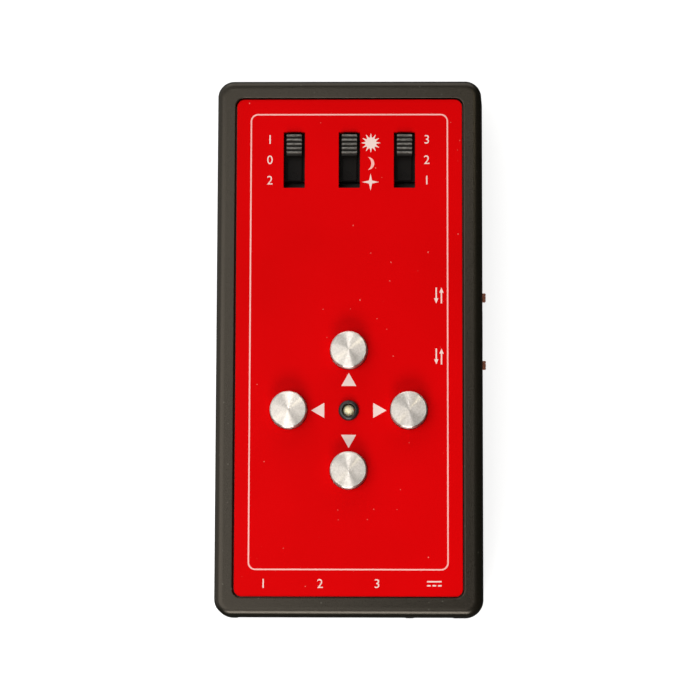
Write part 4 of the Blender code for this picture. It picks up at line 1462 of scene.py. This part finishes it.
def make_floor():
    """A plain white floor that glows a little and doesn't show in glossy reflections."""
    material, tree, shader = start(
        "floor",
        {"Roughness": 0.9, "Emission Color": (1.0, 1.0, 1.0, 1.0), "Emission Strength": 0.78},
    )
    place = add(tree, "ShaderNodeTexCoord").outputs["Object"]
    drift = noise(tree, place, 3.0)
    tree.links.new(
        ramp(tree, drift, [(0.0, (0.40, 0.40, 0.40)), (1.0, (0.44, 0.44, 0.44))]),
        shader.inputs["Base Color"],
    )
    mesh = bpy.data.meshes.new("floor")
    half = FLOOR_HALF
    mesh.from_pydata(
        [(-half, -half, 0.0), (half, -half, 0.0), (half, half, 0.0), (-half, half, 0.0)],
        [], [(0, 1, 2, 3)],
    )
    mesh.materials.append(material)
    floor = bpy.data.objects.new("floor", mesh)
    STAGE.objects.link(floor)
    floor.visible_glossy = False


def make_light(name, place, size, power, colour=(1.0, 1.0, 1.0), aimed=True):
    """A rectangular soft light that looks at the middle of the face, or straight down."""
    data = bpy.data.lights.new(name, "AREA")
    data.shape = "RECTANGLE"
    data.size, data.size_y = size
    data.energy = power
    data.color = colour
    light = bpy.data.objects.new(name, data)
    light.location = place
    if aimed:
        aim = Vector(LIGHT_AIM) - Vector(place)
        light.rotation_euler = aim.to_track_quat("-Z", "Y").to_euler()
    STAGE.objects.link(light)


DOME_AXIS = (-0.82, 0.40, 0.41)
DOME_DARK = 0.30
DOME_LOW = 0.02
DOME_HIGH = 0.90


def make_world():
    """A pale dome, brightest towards its axis on the left and nearly dark on the right."""
    world = bpy.data.worlds.new("studio")
    world.use_nodes = True
    tree = world.node_tree
    place = add(tree, "ShaderNodeTexCoord").outputs["Generated"]
    towards = add(
        tree, "ShaderNodeVectorMath", {1: DOME_AXIS}, {0: place}, operation="DOT_PRODUCT"
    ).outputs["Value"]
    strength = add(
        tree, "ShaderNodeMapRange",
        {"From Min": DOME_DARK, "From Max": 1.0, "To Min": DOME_LOW, "To Max": DOME_HIGH},
        {"Value": towards}, interpolation_type="SMOOTHSTEP",
    ).outputs["Result"]
    tree.links.new(strength, tree.nodes["Background"].inputs["Strength"])
    tree.nodes["Background"].inputs["Color"].default_value = (1.0, 1.0, 1.0, 1.0)
    bpy.context.scene.world = world


CAMERA_TILT = (math.radians(5.961), math.radians(1.075), math.radians(0.149))
CAMERA_TARGET = (0.28 * MM, -1.15 * MM, 26.5 * MM)
CAMERA_DISTANCE = 0.600
CAMERA_LENS = 123.36


def make_camera():
    """Nearly square above the face, a little towards the sockets and the side switches."""
    data = bpy.data.cameras.new("camera")
    data.lens = CAMERA_LENS
    data.sensor_width = 36.0
    data.clip_start = 0.01
    data.clip_end = 50.0
    camera = bpy.data.objects.new("camera", data)
    camera.rotation_euler = CAMERA_TILT
    back = camera.rotation_euler.to_matrix() @ Vector((0.0, 0.0, CAMERA_DISTANCE))
    camera.location = Vector(CAMERA_TARGET) + back
    STAGE.objects.link(camera)
    bpy.context.scene.camera = camera


make_camera()
make_world()
make_floor()
make_light("key_box", (-0.39, -0.13, 0.80), (0.70, 0.76), 3.8, (1.0, 0.99, 0.97), aimed=False)
make_light("foot_box", (-0.05, -0.64, 0.44), (0.42, 0.30), 3.7, (1.0, 0.99, 0.97))
make_light("head_box", (0.0, 0.76, 0.28), (0.90, 0.60), 2.6, (1.0, 0.99, 0.97))
make_light("top_strip", (-0.015, 0.28, 0.78), (0.040, 0.35), 0.20)
make_light("belly_box", (-0.015, -0.26, 0.80), (0.16, 0.22), 0.24, aimed=False)
make_light("corner_lamp", (0.19, 0.23, 0.62), (0.012, 0.10), 0.16, (1.0, 0.93, 0.70))
bpy.context.scene.view_settings.view_transform = "Standard"

make_case_front()
make_case_back()
make_plate()
make_frame_line()
make_signs()
make_arrows()
make_numerals()
make_power_sign()
make_reverse_signs()
for label in ("up", "down", "left", "right"):
    make_cap(label)
make_lamp()
for label in ("hemisphere", "tracking", "speed"):
    make_slider(label)
for label in ("invert_ra", "invert_dec"):
    make_side_knob(label)
for label in ("ra", "dec", "guide"):
    make_jack(label)
make_power_socket()
for number in range(1, 5):
    make_screw(f"long_screw_{number}", f"case_screw_{number}", 3.7 * MM, 0.9 * MM)
    make_screw(f"short_screw_{number}", f"board_screw_{number}", 16.1 * MM, 0.5 * MM)
dress_nodes()
